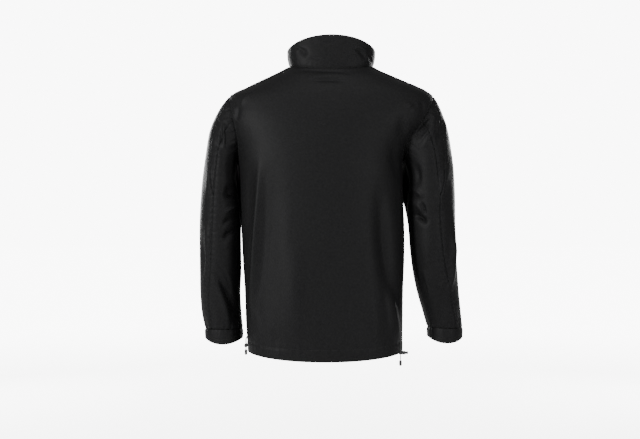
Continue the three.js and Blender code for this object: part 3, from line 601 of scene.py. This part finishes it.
def body_surface(z, angle, creases=True):
    point, out = body_form(z, angle), body_out(z, angle)
    x, height = point[..., 0], point[..., 2]
    back = fold_height(BACK_FOLDS + (BACK_CREASES if creases else []), x, height)
    front = fold_height(FRONT_FOLDS + (FRONT_CREASES if creases else []), x, height)
    folds = np.where(out[..., 1] < 0, back, front) * ease(np.abs(out[..., 1]) * 1.6)
    hem = HEM_PROUD * ease((HEM_Z + HEM_HEIGHT - z) / 3)
    return point + out * (folds + hem)[..., None], out


def ripple(s, seed, pitch):
    """An uneven wave along a seam, between -1 and 1."""
    a = 2 * math.pi * s / pitch
    return (0.5 * np.sin(a + seed) * (1 + 0.5 * np.sin(0.31 * a + 2.1 * seed))
            + 0.3 * np.sin(1.73 * a + 3.3 * seed) + 0.2 * np.sin(0.57 * a + 5.7 * seed))


REACH_BATCH = 4000


def reach(points, line):
    """Each point's distance from a line of points, and how far along the line its nearest place is."""
    flat = points.reshape(-1, 3)
    along = run_along(line)
    distance, place = np.empty(len(flat)), np.empty(len(flat))
    for start in range(0, len(flat), REACH_BATCH):
        batch = slice(start, start + REACH_BATCH)
        squares = ((flat[batch][:, None, :] - line[None, :, :]) ** 2).sum(-1)
        nearest = squares.argmin(1)
        distance[batch] = np.sqrt(squares[np.arange(len(nearest)), nearest])
        place[batch] = along[nearest]
    return distance.reshape(points.shape[:-1]), place.reshape(points.shape[:-1])


def seam_shape(points, line, seed, rows=BODY_STITCH_ROWS, depth=1.8, pucker=1.2, pitch=15.0, spread=13.0):
    """How a sewn edge shapes the cloth beside it: it sinks at the seam and its stitched rows, and puckers."""
    d, s = reach(points, line)
    shape = -depth * hump(d, SEAM_SINK_WIDTH)
    for row in rows:
        shape -= ROW_SINK * hump(d - row, ROW_SINK_WIDTH)
    shape += ROW_RISE * hump(d - sum(rows) / max(1, len(rows)), ROW_RISE_WIDTH) if rows else 0
    return shape + pucker * ripple(s, seed, pitch) * np.exp(-d / spread) * ease(d / 3)


def shell(name, outer, outs, thickness, round_it=False):
    """A closed thin shell on a grid of outer points, with a UV map in metres."""
    rows, columns = outer.shape[:2]
    inner = outer - outs * thickness
    points = np.concatenate([outer.reshape(-1, 3), inner.reshape(-1, 3)]) / 1000
    index = np.arange(rows * columns).reshape(rows, columns)
    if round_it:
        index = np.concatenate([index, index[:, :1]], axis=1)
    a, b, c, d = (part.ravel() for part in (index[:-1, :-1], index[:-1, 1:], index[1:, 1:], index[1:, :-1]))
    far = rows * columns
    faces = [np.stack([a, b, c, d], 1), np.stack([a, d, c, b], 1) + far]
    rims = [(index[0], False), (index[-1], True)]
    if not round_it:
        rims += [(index[:, 0], True), (index[:, -1], False)]
    for line, flip in rims:
        p, q = (line[1:], line[:-1]) if flip else (line[:-1], line[1:])
        faces.append(np.stack([p, p + far, q + far, q], 1))
    faces = np.concatenate(faces)
    corner = points[faces]
    volume = (np.cross(corner[:, 1] - corner[:, 0], corner[:, 2] - corner[:, 0]) * corner.mean(1)).sum()
    if volume < 0:
        faces = faces[:, ::-1]
    mesh = bpy.data.meshes.new(name)
    mesh.from_pydata(points.tolist(), [], faces.tolist())
    across, up = (np.cumsum(np.linalg.norm(np.diff(outer, axis=axis, prepend=first), axis=2), axis)
                  for axis, first in ((1, outer[:, :1]), (0, outer[:1])))
    across -= across.mean(1, keepdims=True)
    place = np.stack([across, up], -1).reshape(-1, 2) / 1000
    layer = mesh.uv_layers.new(name="cloth")
    layer.data.foreach_set("uv", np.concatenate([place, place])[faces].ravel())
    smooth(mesh)
    return in_scene(name, mesh)


# Cloth
def softshell_cloth():
    """Black softshell face cloth: a fine smooth weave with a dull sheen."""
    made, tree, shader = material("softshell_cloth", grey(0.003, 0.0001), 0.55, 0.5, ior=1.11)
    weave = relief(tree, shader, crossed_waves(tree, (0.7, -0.9), (1400.0, 1250.0), 0.6), 0.25, 0.00012)
    place = add_node(tree, "ShaderNodeTexCoord")
    softness = add_node(tree, "ShaderNodeTexNoise",
                        {"Scale": 34.0, "Detail": 3.0, "Vector": place.outputs["Object"]})
    relief(tree, shader, softness.outputs["Fac"], 0.22, 0.003, under=weave)
    mottle(tree, shader, 260.0, grey(0.0022, 0.0001), grey(0.0036, 0.0001))
    return made


cloth = softshell_cloth()


def finish_cloth(piece, node, look=None):
    piece.data.materials.append(look or cloth)
    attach(piece, "jacket")
    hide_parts(node)


# Body panels
ARMHOLE_MIDDLE, ARMHOLE_HALF = (UNDERARM_Z + SHOULDER_TIP_Z) / 2, (SHOULDER_TIP_Z - UNDERARM_Z) / 2
HEIGHTS = np.concatenate([
    np.linspace(HEM_Z, UNDERARM_Z, SKIRT_ROWS),
    ARMHOLE_MIDDLE - ARMHOLE_HALF * np.cos(math.pi * np.arange(1, ARMHOLE_CUTS + 1) / ARMHOLE_CUTS),
    np.linspace(SHOULDER_TIP_Z, 0, SHOULDER_ROWS)[1:],
])


def body_panel(name, start, end, columns, seed):
    t = np.linspace(0, 1, columns + 1)[None, :]
    angle = blend(start[:, None], end[:, None], t)
    z = np.repeat(HEIGHTS[:, None], columns + 1, 1)
    points, out = body_surface(z, angle)
    shape = seam_shape(points, points[:, 0], seed) + seam_shape(points, points[:, -1], seed + 1)
    shape *= blend(SIDE_SEAM_SHARE, 1.0, ease((z - UNDERARM_Z + 10) / 30))
    shape += seam_shape(points, points[-1], seed + 2, rows=(3.0,), pucker=0.4)
    above = z - HEM_Z
    shape -= HEM_SINK * hump(above - HEM_HEIGHT, HEM_SINK_WIDTH)
    across = np.cumsum(np.linalg.norm(np.diff(points[:1], axis=1, prepend=points[:1, :1]), axis=2), 1)
    shape += 0.7 * ripple(across, seed + 4, 17.0) * hump(above - HEM_HEIGHT, 15)
    shape += 0.5 * ripple(across, seed + 6, 11.0) * hump(above, 9)
    points = points + out * shape[..., None]
    points[-1] += unit(points[-1] - points[-2]) * NECK_LAP
    return shell(name, points, out, CLOTH), points, out


zip_edge_right = front_angle(body_form, HEIGHTS, zip_x(HEIGHTS) + ZIP_OPENING)
zip_edge_left = front_angle(body_form, HEIGHTS, zip_x(HEIGHTS) - ZIP_OPENING)
panels = {}
for name, start, end, columns, seed in (
        ("back", side_edge(HEIGHTS, False, True), side_edge(HEIGHTS, True, True) + 360, BACK_COLUMNS, 1.0),
        ("front_right", side_edge(HEIGHTS, True, False), zip_edge_right, FRONT_COLUMNS, 8.0),
        ("front_left", zip_edge_left, side_edge(HEIGHTS, False, False), FRONT_COLUMNS, 15.0)):
    piece, *panels[name] = body_panel(name + "_panel", start, end, columns, seed)
    finish_cloth(piece, name)


# Collar
def collar_shell():
    rise = np.linspace(0, 1, COLLAR_ROWS)[:, None]
    t = np.linspace(0, 1, COLLAR_COLUMNS)[None, :]
    start = front_angle(collar_form, rise, -ZIP_OPENING)
    end = 360 + front_angle(collar_form, rise, ZIP_OPENING)
    angle = blend(start, end, t)
    rise = np.repeat(rise, COLLAR_COLUMNS, 1)
    points, out = collar_form(rise, angle), collar_out(rise, angle)
    folds = fold_height(COLLAR_FOLDS + COLLAR_CREASES, points[..., 0], points[..., 2])
    shape = np.where(out[..., 1] < 0, folds, 0) * ease(rise / 0.1)
    shape += seam_shape(points, points[0], 21.0, rows=(), pucker=0.5, pitch=22)
    shape += seam_shape(points, points[-1], 24.0, rows=(COLLAR_STITCH_ROW,), depth=0.9, pucker=0.8, pitch=26)
    points = points + seam_way(points, body_out(np.zeros(COLLAR_COLUMNS), angle[0]), out) * shape[..., None]
    points[0] += unit(points[0] - points[1]) * NECK_LAP
    return shell("collar_stand", points, out, DOUBLE_CLOTH), points, out


piece, *panels["collar"] = collar_shell()
finish_cloth(piece, "collar")


# Sleeves
def armhole_loop(step, right_side):
    step = np.mod(step, ARM_STEPS)
    z = ARMHOLE_MIDDLE + ARMHOLE_HALF * np.cos(math.pi * step / ARMHOLE_ROWS)
    behind, front = side_edge(z, right_side, True), side_edge(z, right_side, False)
    return body_surface(z, np.where(step <= ARMHOLE_ROWS, behind, front))


def sleeve_form(rows, right_side):
    keys = np.arange(1, len(rows) + 1, dtype=float)
    steps = np.linspace(0, ARM_STEPS, 441)
    loop = armhole_loop(steps, right_side)[0]

    def form(along, step):
        place = 1 + along * (len(rows) - 1)
        outer_x, outer_z, inner_x, inner_z, y, depth, tuck = (
            column(keys, rows[:, n], place) for n in range(7))
        turn = 2 * math.pi * step / ARM_STEPS
        across = (np.cos(turn) + 1) / 2
        inside_front = np.maximum(0, -np.cos(turn)) * np.maximum(0, -np.sin(turn))
        bulge = 2 * tuck * inside_front * np.sign(inner_x - outer_x)
        ring = np.stack(np.broadcast_arrays(
            blend(inner_x, outer_x, across) + bulge,
            y - depth * np.sin(turn),
            blend(inner_z, outer_z, across),
        ), axis=-1)
        start = np.stack([np.interp(np.mod(step, ARM_STEPS), steps, loop[:, n]) for n in range(3)], axis=-1)
        return blend(start, ring, ease(along / ARMHOLE_BLEND)[..., None])
    return form


def sleeve_out(form, along, step):
    inside = np.clip(along, 0.012, 0.99)
    out = outward(form, inside, step, 0.01, 0.2)
    middle = (form(inside, np.zeros_like(step)) + form(inside, np.full_like(step, ARM_STEPS / 2))) / 2
    return np.where(((form(inside, step) - middle) * out).sum(-1, keepdims=True) < 0, -out, out)


def sleeve_panel(name, form, right_side, folds, start, end, columns, along, seed, seams):
    t = np.linspace(0, 1, columns + 1)[None, :]
    step = blend(start[:, None], end[:, None], t)
    reach_down = np.repeat(along[:, None], columns + 1, 1)
    points, out = form(reach_down, step), sleeve_out(form, reach_down, step)
    facing = np.where(out[..., 1] < 0, ease(-out[..., 1] * 2), 0.6 * ease(out[..., 1] * 2))
    settle = ease(reach_down / 0.05) * ease((1 - reach_down) / 0.02)
    points = points + out * (settle * facing * fold_height(folds, points[..., 0], points[..., 2]))[..., None]
    shape = seam_shape(points, points[:, 0], seed, rows=seams[0])
    shape += seam_shape(points, points[:, -1], seed + 1, rows=seams[1])
    shape += seam_shape(points, points[0], seed + 2, rows=(), pucker=2.1, pitch=17, spread=16)
    shape += seam_shape(points, points[-1], seed + 3, rows=(), depth=1.2, pucker=1.5, pitch=14, spread=14)
    points = points + seam_way(points, armhole_loop(step[0], right_side)[1], out) * shape[..., None]
    if along[-1] > 0.99:
        points[-1] += unit(points[-1] - points[-2]) * CUFF_LAP
    return shell(name, points, out, CLOTH), points, out


def make_sleeve(side, rows, folds, seed):
    right_side = side == "right"
    form = sleeve_form(rows, right_side)
    along = np.linspace(0, 0.9985, SLEEVE_ROWS)
    bend = blend(BACK_SEAM_ELBOW, BACK_SEAM_END, ease((along - GORE_SHARE) / (1 - GORE_SHARE)))
    share = np.minimum(along / GORE_SHARE, 1)
    above_bend = along < GORE_SHARE
    outer_seam = np.where(above_bend, blend(GORE_OUTER_START, BACK_SEAM_ELBOW, share ** 2), bend)
    inner_seam = np.where(above_bend, blend(GORE_INNER_START, BACK_SEAM_ELBOW, share), bend)
    front = np.full_like(along, FRONT_SEAM)
    gore = along[along < GORE_SHARE * 0.985]
    parts = [
        ("outer", front - ARM_STEPS, outer_seam, along, ((), SLEEVE_STITCH_ROWS)),
        ("under", inner_seam, front, along, ((), ())),
        ("gore", outer_seam[:len(gore)], inner_seam[:len(gore)], gore, ((), ())),
    ]
    made = {}
    for n, (part, start, end, run, seams) in enumerate(parts):
        name = f"sleeve_{part}_{side}"
        piece, *made[part] = sleeve_panel(
            name + "_panel", form, right_side, folds, start, end, SLEEVE_COLUMNS[part], run,
            seed + 5 * n, seams)
        finish_cloth(piece, name)
    return form, made


def make_cuff(side, form, seed):
    step = np.linspace(0, ARM_STEPS, CUFF_COLUMNS, endpoint=False)
    seam = form(np.ones(CUFF_COLUMNS), step)
    middle = (form(np.ones(1), np.zeros(1)) + form(np.ones(1), np.full(1, ARM_STEPS / 2))) / 2
    out = seam - middle
    out[:, 2] = 0
    out = unit(out)
    height = blend(CUFF_SIDE_HEIGHT, CUFF_BACK_HEIGHT, np.maximum(0, -out[:, 1]) ** 2)
    share = np.linspace(0, 1, CUFF_ROWS)[:, None]
    roll = CUFF_PROUD * np.sin(math.pi * (0.15 + 0.75 * share))
    points = np.repeat(seam[None], CUFF_ROWS, 0) + out[None] * roll[..., None]
    points[..., 2] -= SEAM_GAP + height[None] * share
    outs = np.repeat(out[None], CUFF_ROWS, 0)
    shape = seam_shape(points, points[0], seed, rows=(), depth=0.8, pucker=0.7, pitch=14, spread=10)
    below = (1 - share) * height[None]
    shape -= 0.6 * hump(below - CUFF_STITCH_ROWS[0], 1.0) + 0.5 * hump(below - CUFF_STITCH_ROWS[1], 1.0)
    points = points + outs * shape[..., None]
    finish_cloth(shell(f"cuff_{side}_band", points, outs, DOUBLE_CLOTH, round_it=True), f"cuff_{side}")
    return points, outs


right_form, right_sleeve = make_sleeve(
    "right", RIGHT_SLEEVE_ROWS, RIGHT_SLEEVE_FOLDS + RIGHT_SLEEVE_CREASES, 30.0)
left_form, left_sleeve = make_sleeve(
    "left", LEFT_SLEEVE_ROWS, LEFT_SLEEVE_FOLDS + LEFT_SLEEVE_CREASES, 50.0)
arms = (("right", right_sleeve, make_cuff("right", right_form, 70.0)),
        ("left", left_sleeve, make_cuff("left", left_form, 75.0)))

# Zip
ZIP_CHAIN_HALF = 2.4
ZIP_CORE_HALF, ZIP_CORE_SUNK, ZIP_CORE_THICKNESS = 1.5, 0.5, 1.0
ZIP_TAPE_WIDTH, ZIP_TAPE_THICKNESS = 11.0, 0.8
ZIP_BOX_HEIGHT = 10.0
TOOTH = (1.45, 2.9, 1.9)  # along the zip, across it, and out of it
TOOTH_PITCH = 2.9
WALL_CHANGE = 14.8  # the wall grows to the collar's over this height below the neck


def zip_places(sideways, out, lift=ZIP_BOX_HEIGHT + 3):
    """A line beside the zip's, from a height above the hem to the collar's top, and its ways out."""
    heights = HEIGHTS[(HEIGHTS > HEM_Z + lift) & (HEIGHTS < -0.5)]
    heights = np.concatenate([[HEM_Z + lift], heights])
    angle = front_angle(body_form, heights, zip_x(heights) + sideways)
    points, outs = body_surface(heights, angle, creases=False)
    wall = CLOTH + (DOUBLE_CLOTH - CLOTH) * np.clip(1 + heights / WALL_CHANGE, 0, 1)
    points = points + outs * (out - wall)[:, None]
    rise = np.linspace(0.004, 0.985, 33)
    angle = front_angle(collar_form, rise, sideways)
    collar_side = collar_out(rise, angle)
    upper = collar_form(rise, angle) + collar_side * (out - DOUBLE_CLOTH)
    return np.concatenate([points, upper]), np.concatenate([outs, collar_side])


def zip_strip(name, start, end, columns, out, thickness, look, node, lift=ZIP_BOX_HEIGHT + 3):
    lines = [zip_places(sideways, out, lift) for sideways in np.linspace(start, end, columns + 1)]
    points, outs = (np.stack([line[n] for line in lines], 1) for n in range(2))
    finish_cloth(shell(name, points, outs, thickness), node, look)


tape_look = woven("woven_zip_tape", grey(0.004), 0.8, 0.2, 1.2,
                  (0.5, -1.1), (4200.0, 5200.0), 0.1, 0.6, 0.0002)
tooth_look = mottled("zip_teeth_plastic", grey(0.006), grey(0.010), 0.55, 1500.0, 0.00004, 0.2)
thread_look = mottled("sewing_thread", grey(0.005), grey(0.008), 0.7, 2600.0, 0.0001, ior=1.2)

# The tapes meet behind the teeth that they carry, and run down behind the end box
TAPE_EDGE, TAPE_LIFT = 0.05, 1.5
zip_edge = ZIP_CHAIN_HALF + SEAM_GAP + ZIP_TAPE_WIDTH
for side, start, end in (("right", TAPE_EDGE, zip_edge), ("left", -zip_edge, -TAPE_EDGE)):
    zip_strip(f"zip_tape_{side}_woven", start, end, 8, -SEAM_GAP, ZIP_TAPE_THICKNESS,
              tape_look, f"zip_tape_{side}", TAPE_LIFT)
zip_strip("zip_core", -ZIP_CORE_HALF, ZIP_CORE_HALF, 4, -ZIP_CORE_SUNK, ZIP_CORE_THICKNESS,
          tape_look, "zip_chain")
softened("zip_end_box", "zip_box", 0.6, trim_look)
softened("zip_slider_body", "zip_slider", 0.25, lacquer_look)
softened("zip_pull_tab", "zip_pull", 0.2, lacquer_look, body="pull_tab")


# What repeats along a line: stitches and zip teeth
def unit_block(name, bevel):
    """A rounded block one unit long, wide and high, to be repeated."""
    work = bmesh.new()
    bmesh.ops.create_cube(work, size=1.0)
    bmesh.ops.bevel(work, geom=work.edges[:], offset=bevel, segments=1, profile=0.6, affect="EDGES")
    mesh = bpy.data.meshes.new(name)
    work.to_mesh(mesh)
    work.free()
    mesh.polygons.foreach_set("use_smooth", np.ones(len(mesh.polygons), bool))
    return in_scene(name, mesh)


def row_tree(name):
    """Sets copies of a block along rows of points, each turned to its row and to the way out of the cloth."""
    tree = bpy.data.node_groups.new(name, "GeometryNodeTree")
    tree.interface.new_socket("Rows", in_out="OUTPUT", socket_type="NodeSocketGeometry")
    for title, kind in (("Rows", "Geometry"), ("Block", "Object"), ("Pitch", "Float"), ("Size", "Vector"),
                        ("Unevenness", "Float"), ("Finish", "Material")):
        tree.interface.new_socket(title, in_out="INPUT", socket_type="NodeSocket" + kind)
    given = add_node(tree, "NodeGroupInput").outputs
    curve = add_node(tree, "GeometryNodeMeshToCurve", {"Mesh": given["Rows"]})
    spaced = add_node(tree, "GeometryNodeResampleCurve",
                      {"Curve": curve.outputs["Curve"], "Length": given["Pitch"]}, mode="LENGTH")
    out = add_node(tree, "GeometryNodeInputNamedAttribute", {"Name": "out"}, data_type="FLOAT_VECTOR")
    tangent = add_node(tree, "GeometryNodeInputTangent")
    upright = add_node(tree, "FunctionNodeAlignRotationToVector",
                       {"Vector": out.outputs["Attribute"]}, axis="Z")
    turned = add_node(tree, "FunctionNodeAlignRotationToVector",
                      {"Rotation": upright.outputs["Rotation"], "Vector": tangent.outputs["Tangent"]},
                      axis="X", pivot_axis="Z")
    block = add_node(tree, "GeometryNodeObjectInfo", {"Object": given["Block"]})
    chance = add_node(tree, "FunctionNodeRandomValue", {"Seed": 7}, data_type="FLOAT")
    for title, operation in (("Min", "SUBTRACT"), ("Max", "ADD")):
        bound = add_node(tree, "ShaderNodeMath", {0: 1.0, 1: given["Unevenness"]}, operation=operation)
        socket = next(i for i in chance.inputs if i.name == title and i.enabled and i.type == "VALUE")
        tree.links.new(bound.outputs[0], socket)
    share = next(o for o in chance.outputs if o.enabled and o.type == "VALUE")
    size = add_node(tree, "ShaderNodeVectorMath", {0: given["Size"], "Scale": share}, operation="SCALE")
    place = add_node(tree, "GeometryNodeInstanceOnPoints",
                     {"Points": spaced.outputs["Curve"], "Instance": block.outputs["Geometry"],
                      "Rotation": turned.outputs["Rotation"], "Scale": size.outputs["Vector"]})
    real = add_node(tree, "GeometryNodeRealizeInstances", {"Geometry": place.outputs["Instances"]})
    finish = add_node(tree, "GeometryNodeSetMaterial",
                      {"Geometry": real.outputs["Geometry"], "Material": given["Finish"]})
    add_node(tree, "NodeGroupOutput", {"Rows": finish.outputs["Geometry"]})
    return tree


def set_rows(name, tree, rows, block, pitch, size, unevenness, look, nodes=()):
    """One piece with a block repeated along each row, which is a line of points and its ways out."""
    points = np.concatenate([row[0] for row in rows]) / 1000
    outs = np.concatenate([row[1] for row in rows])
    edges, first = [], 0
    for row in rows:
        edges += [(first + i, first + i + 1) for i in range(len(row[0]) - 1)]
        first += len(row[0])
    mesh = bpy.data.meshes.new(name + "_lines")
    mesh.from_pydata(points.tolist(), edges, [])
    mesh.attributes.new("out", "FLOAT_VECTOR", "POINT").data.foreach_set("vector", outs.ravel())
    lines = in_scene(name + "_lines", mesh)
    repeat = lines.modifiers.new("rows", "NODES")
    repeat.node_group = tree
    values = {"Block": block, "Pitch": pitch / 1000, "Size": [v / 1000 for v in size],
              "Unevenness": unevenness, "Finish": look}
    for item in tree.interface.items_tree:
        if item.in_out == "INPUT" and item.name in values:
            repeat[item.identifier] = values[item.name]
    lines.update_tag()
    done = lines.evaluated_get(bpy.context.evaluated_depsgraph_get())
    made = bpy.data.meshes.new_from_object(done)
    made.name = name
    bpy.data.objects.remove(lines)
    for attribute in [a.name for a in made.attributes if a.name in ("out", "Name")]:
        made.attributes.remove(made.attributes[attribute])
    return add_piece(name, made, look, nodes=nodes)


repeat_rows = row_tree("rows_of_blocks")

# Zip teeth: two rows that mesh, one on each side of the zip's line
tooth = unit_block("tooth", 0.16)
teeth = []
for side, shift in ((0.9, 0.0), (-0.9, TOOTH_PITCH / 2)):
    line, outs = zip_places(side, 0.0)
    run = run_along(line)
    even = np.arange(shift + 1, run[-1] - 1, TOOTH_PITCH / 2)
    teeth.append([np.stack([np.interp(even, run, grid[:, n]) for n in range(3)], -1)
                  for grid in (line, outs)])
set_rows("zip_teeth", repeat_rows, teeth, tooth, TOOTH_PITCH, TOOTH, 0.0,
         tooth_look, ("zip_chain",))

# Topstitching
STITCH = (2.5, 0.55, 0.5)
STITCH_PITCH = 3.3


def edge_of(grid, edge):
    """An edge of a panel's grid and the grid line next to it."""
    return {"start": (grid[:, 0], grid[:, 1]), "end": (grid[:, -1], grid[:, -2]),
            "last": (grid[-1], grid[-2])}[edge]


def beside(panel, edge, distance, part=slice(None)):
    """A row of points on a panel at a distance from one of its edges."""
    points, outs = panel
    line, inner = (grid[part] for grid in edge_of(points, edge))
    out = edge_of(outs, edge)[0][part]
    way = np.cross(np.gradient(line, axis=0), out)
    way = unit(way) * np.sign((way * (inner - line)).sum(-1, keepdims=True))
    row = line + way * distance
    flat, flat_out = points.reshape(-1, 3), outs.reshape(-1, 3)
    nearest = ((row[:, None, :] - flat[None, :, :]) ** 2).sum(-1).argmin(1)
    ground, normal = flat[nearest], flat_out[nearest]
    row = row + normal * ((ground - row) * normal).sum(-1, keepdims=True)
    keep = np.concatenate([[True], np.linalg.norm(np.diff(row, axis=0), axis=1) > 0.3])
    return row[keep] + normal[keep] * 0.1, normal[keep]


stitch = unit_block("stitch", 0.24)


def stitched(name, rows):
    return set_rows(name, repeat_rows, rows, stitch, STITCH_PITCH, STITCH, 0.08, thread_look)


def body_stitches(panel, seamed):
    """The hem's row, and two rows beside the armhole and the shoulder at each edge named."""
    points, outs = panel
    lift = HEM_HEIGHT / (HEIGHTS[1] - HEIGHTS[0])
    low, share = int(lift), lift % 1
    hem = blend(points[low], points[low + 1], share), blend(outs[low], outs[low + 1], share)
    rows = [(hem[0] + hem[1] * 0.1, unit(hem[1]))]
    shoulder = SKIRT_ROWS + ARMHOLE_CUTS
    for edge in seamed:
        for distance in BODY_STITCH_ROWS:
            rows += [beside(panel, edge, distance, slice(SKIRT_ROWS + 2, shoulder - 1)),
                     beside(panel, edge, distance, slice(shoulder, None))]
    return rows


rows = {
    "back": body_stitches(panels["back"], ("start", "end")),
    "front_right": body_stitches(panels["front_right"], ("start",))
    + [beside(panels["front_right"], "end", ZIP_STITCH_ROW)],
    "front_left": body_stitches(panels["front_left"], ("end",))
    + [beside(panels["front_left"], "start", ZIP_STITCH_ROW)],
    "collar": [beside(panels["collar"], edge, COLLAR_STITCH_ROW) for edge in ("last", "start", "end")],
}
for side, sleeve, cuff in arms:
    rows[f"sleeve_{side}"] = [beside(sleeve["outer"], "end", distance) for distance in SLEEVE_STITCH_ROWS]
    closed = [np.concatenate([grid, grid[:, :1]], 1) for grid in cuff]
    rows[f"cuff_{side}"] = [beside(closed, "last", distance) for distance in CUFF_STITCH_ROWS]
sewn = {name: stitched(f"stitching_{name}", lines) for name, lines in rows.items()}
for block in (tooth, stitch):
    bpy.data.objects.remove(block)


def declare_cloth(cut, points=None):
    """Works out the sides of a panel's grid cells where points are given, and keeps nothing. The cut is not
    used.
    """
    if points is not None:
        sides = np.cross(np.diff(points, axis=1)[:-1], np.diff(points, axis=0)[:, :-1])


for name, cut in (("back", "back"), ("front_right", "front"), ("front_left", "front")):
    declare_cloth(cut, panels[name][0])
declare_cloth("collar", panels["collar"][0])
for side, sleeve, cuff in arms:
    for part, (points, outs) in sleeve.items():
        declare_cloth(part, points)
    closed = np.concatenate([cuff[0], cuff[0][:, :1]], 1)
    declare_cloth("cuff", closed)
    declare_cloth("tape")

# Studio
FLOOR_Z, FLOOR_REACH = -1.15, 30
floor_look, tree, shader = material("pale_floor", grey(0.86), 0.9, 0.2)
noise = add_node(tree, "ShaderNodeTexNoise", {"Scale": 3.0})
tint = add_node(tree, "ShaderNodeValToRGB", {"Fac": noise.outputs["Fac"]})
for end, value in zip(tint.color_ramp.elements, (0.85, 0.88)):
    end.color = (*grey(value), 1)
tree.links.new(tint.outputs["Color"], shader.inputs["Base Color"])

# The floor glows to the camera alone, more so far away, where it meets the pale backdrop
place = add_node(tree, "ShaderNodeTexCoord")
away = add_node(tree, "ShaderNodeVectorMath", {0: place.outputs["Object"]}, operation="LENGTH")
glow = add_node(tree, "ShaderNodeMapRange", {"Value": away.outputs["Value"], "From Min": 0.8, "From Max": 6.0,
                                             "To Min": 3.6, "To Max": 8.6}, interpolation_type="SMOOTHSTEP")
seen = add_node(tree, "ShaderNodeLightPath")
paleness = add_node(tree, "ShaderNodeMath", {0: glow.outputs["Result"], 1: seen.outputs["Is Camera Ray"]},
                    operation="MULTIPLY")
shader.inputs["Emission Color"].default_value = (1, 1, 1, 1)
tree.links.new(paleness.outputs[0], shader.inputs["Emission Strength"])
floor_mesh = bpy.data.meshes.new("floor")
floor_mesh.from_pydata([(x * FLOOR_REACH, y * FLOOR_REACH, FLOOR_Z)
                        for x, y in ((-1, -1), (1, -1), (1, 1), (-1, 1))], [], [(0, 1, 2, 3)])
floor_mesh.materials.append(floor_look)
in_scene("floor", floor_mesh)

# White around the jacket: weak as a light, strong to the camera
world = bpy.data.worlds.new("studio")
bpy.context.scene.world = world
world.use_nodes = True
tree = world.node_tree
around = tree.nodes["Background"]
around.inputs["Color"].default_value = (1, 1, 1, 1)
around.inputs["Strength"].default_value = 0.7
backdrop = add_node(tree, "ShaderNodeBackground", {"Color": (1, 1, 1, 1), "Strength": 9.0})
path = add_node(tree, "ShaderNodeLightPath")
choice = add_node(tree, "ShaderNodeMixShader", {
    "Fac": path.outputs["Is Camera Ray"], 1: around.outputs["Background"], 2: backdrop.outputs["Background"]})
tree.links.new(choice.outputs["Shader"], tree.nodes["World Output"].inputs["Surface"])


def soft_light(name, place, size, power):
    """A lamp that faces the jacket's middle."""
    data = bpy.data.lights.new(name, "AREA")
    data.shape = "RECTANGLE"
    data.size, data.size_y = size
    data.energy = power
    lamp = in_scene(name, data)
    lamp.location = place
    direction = [t - p for t, p in zip((0, 0, -0.35), place)]
    yaw = math.atan2(direction[0], direction[1])
    pitch = math.atan2(direction[2], math.hypot(direction[0], direction[1]))
    lamp.rotation_euler = (math.radians(90) + pitch, 0, -yaw)


soft_light("key", (-2.5, -2.3, 0.4), (0.5, 0.8), 310)
soft_light("fill", (2.2, -2.6, 0.1), (0.8, 1.4), 120)
soft_light("top", (0.1, -1.5, 2.2), (1.6, 1.0), 85)
for side in (-1, 1):
    soft_light("zip_side", (side * 1.7, 2.5, 0.2), (0.9, 1.2), 80)
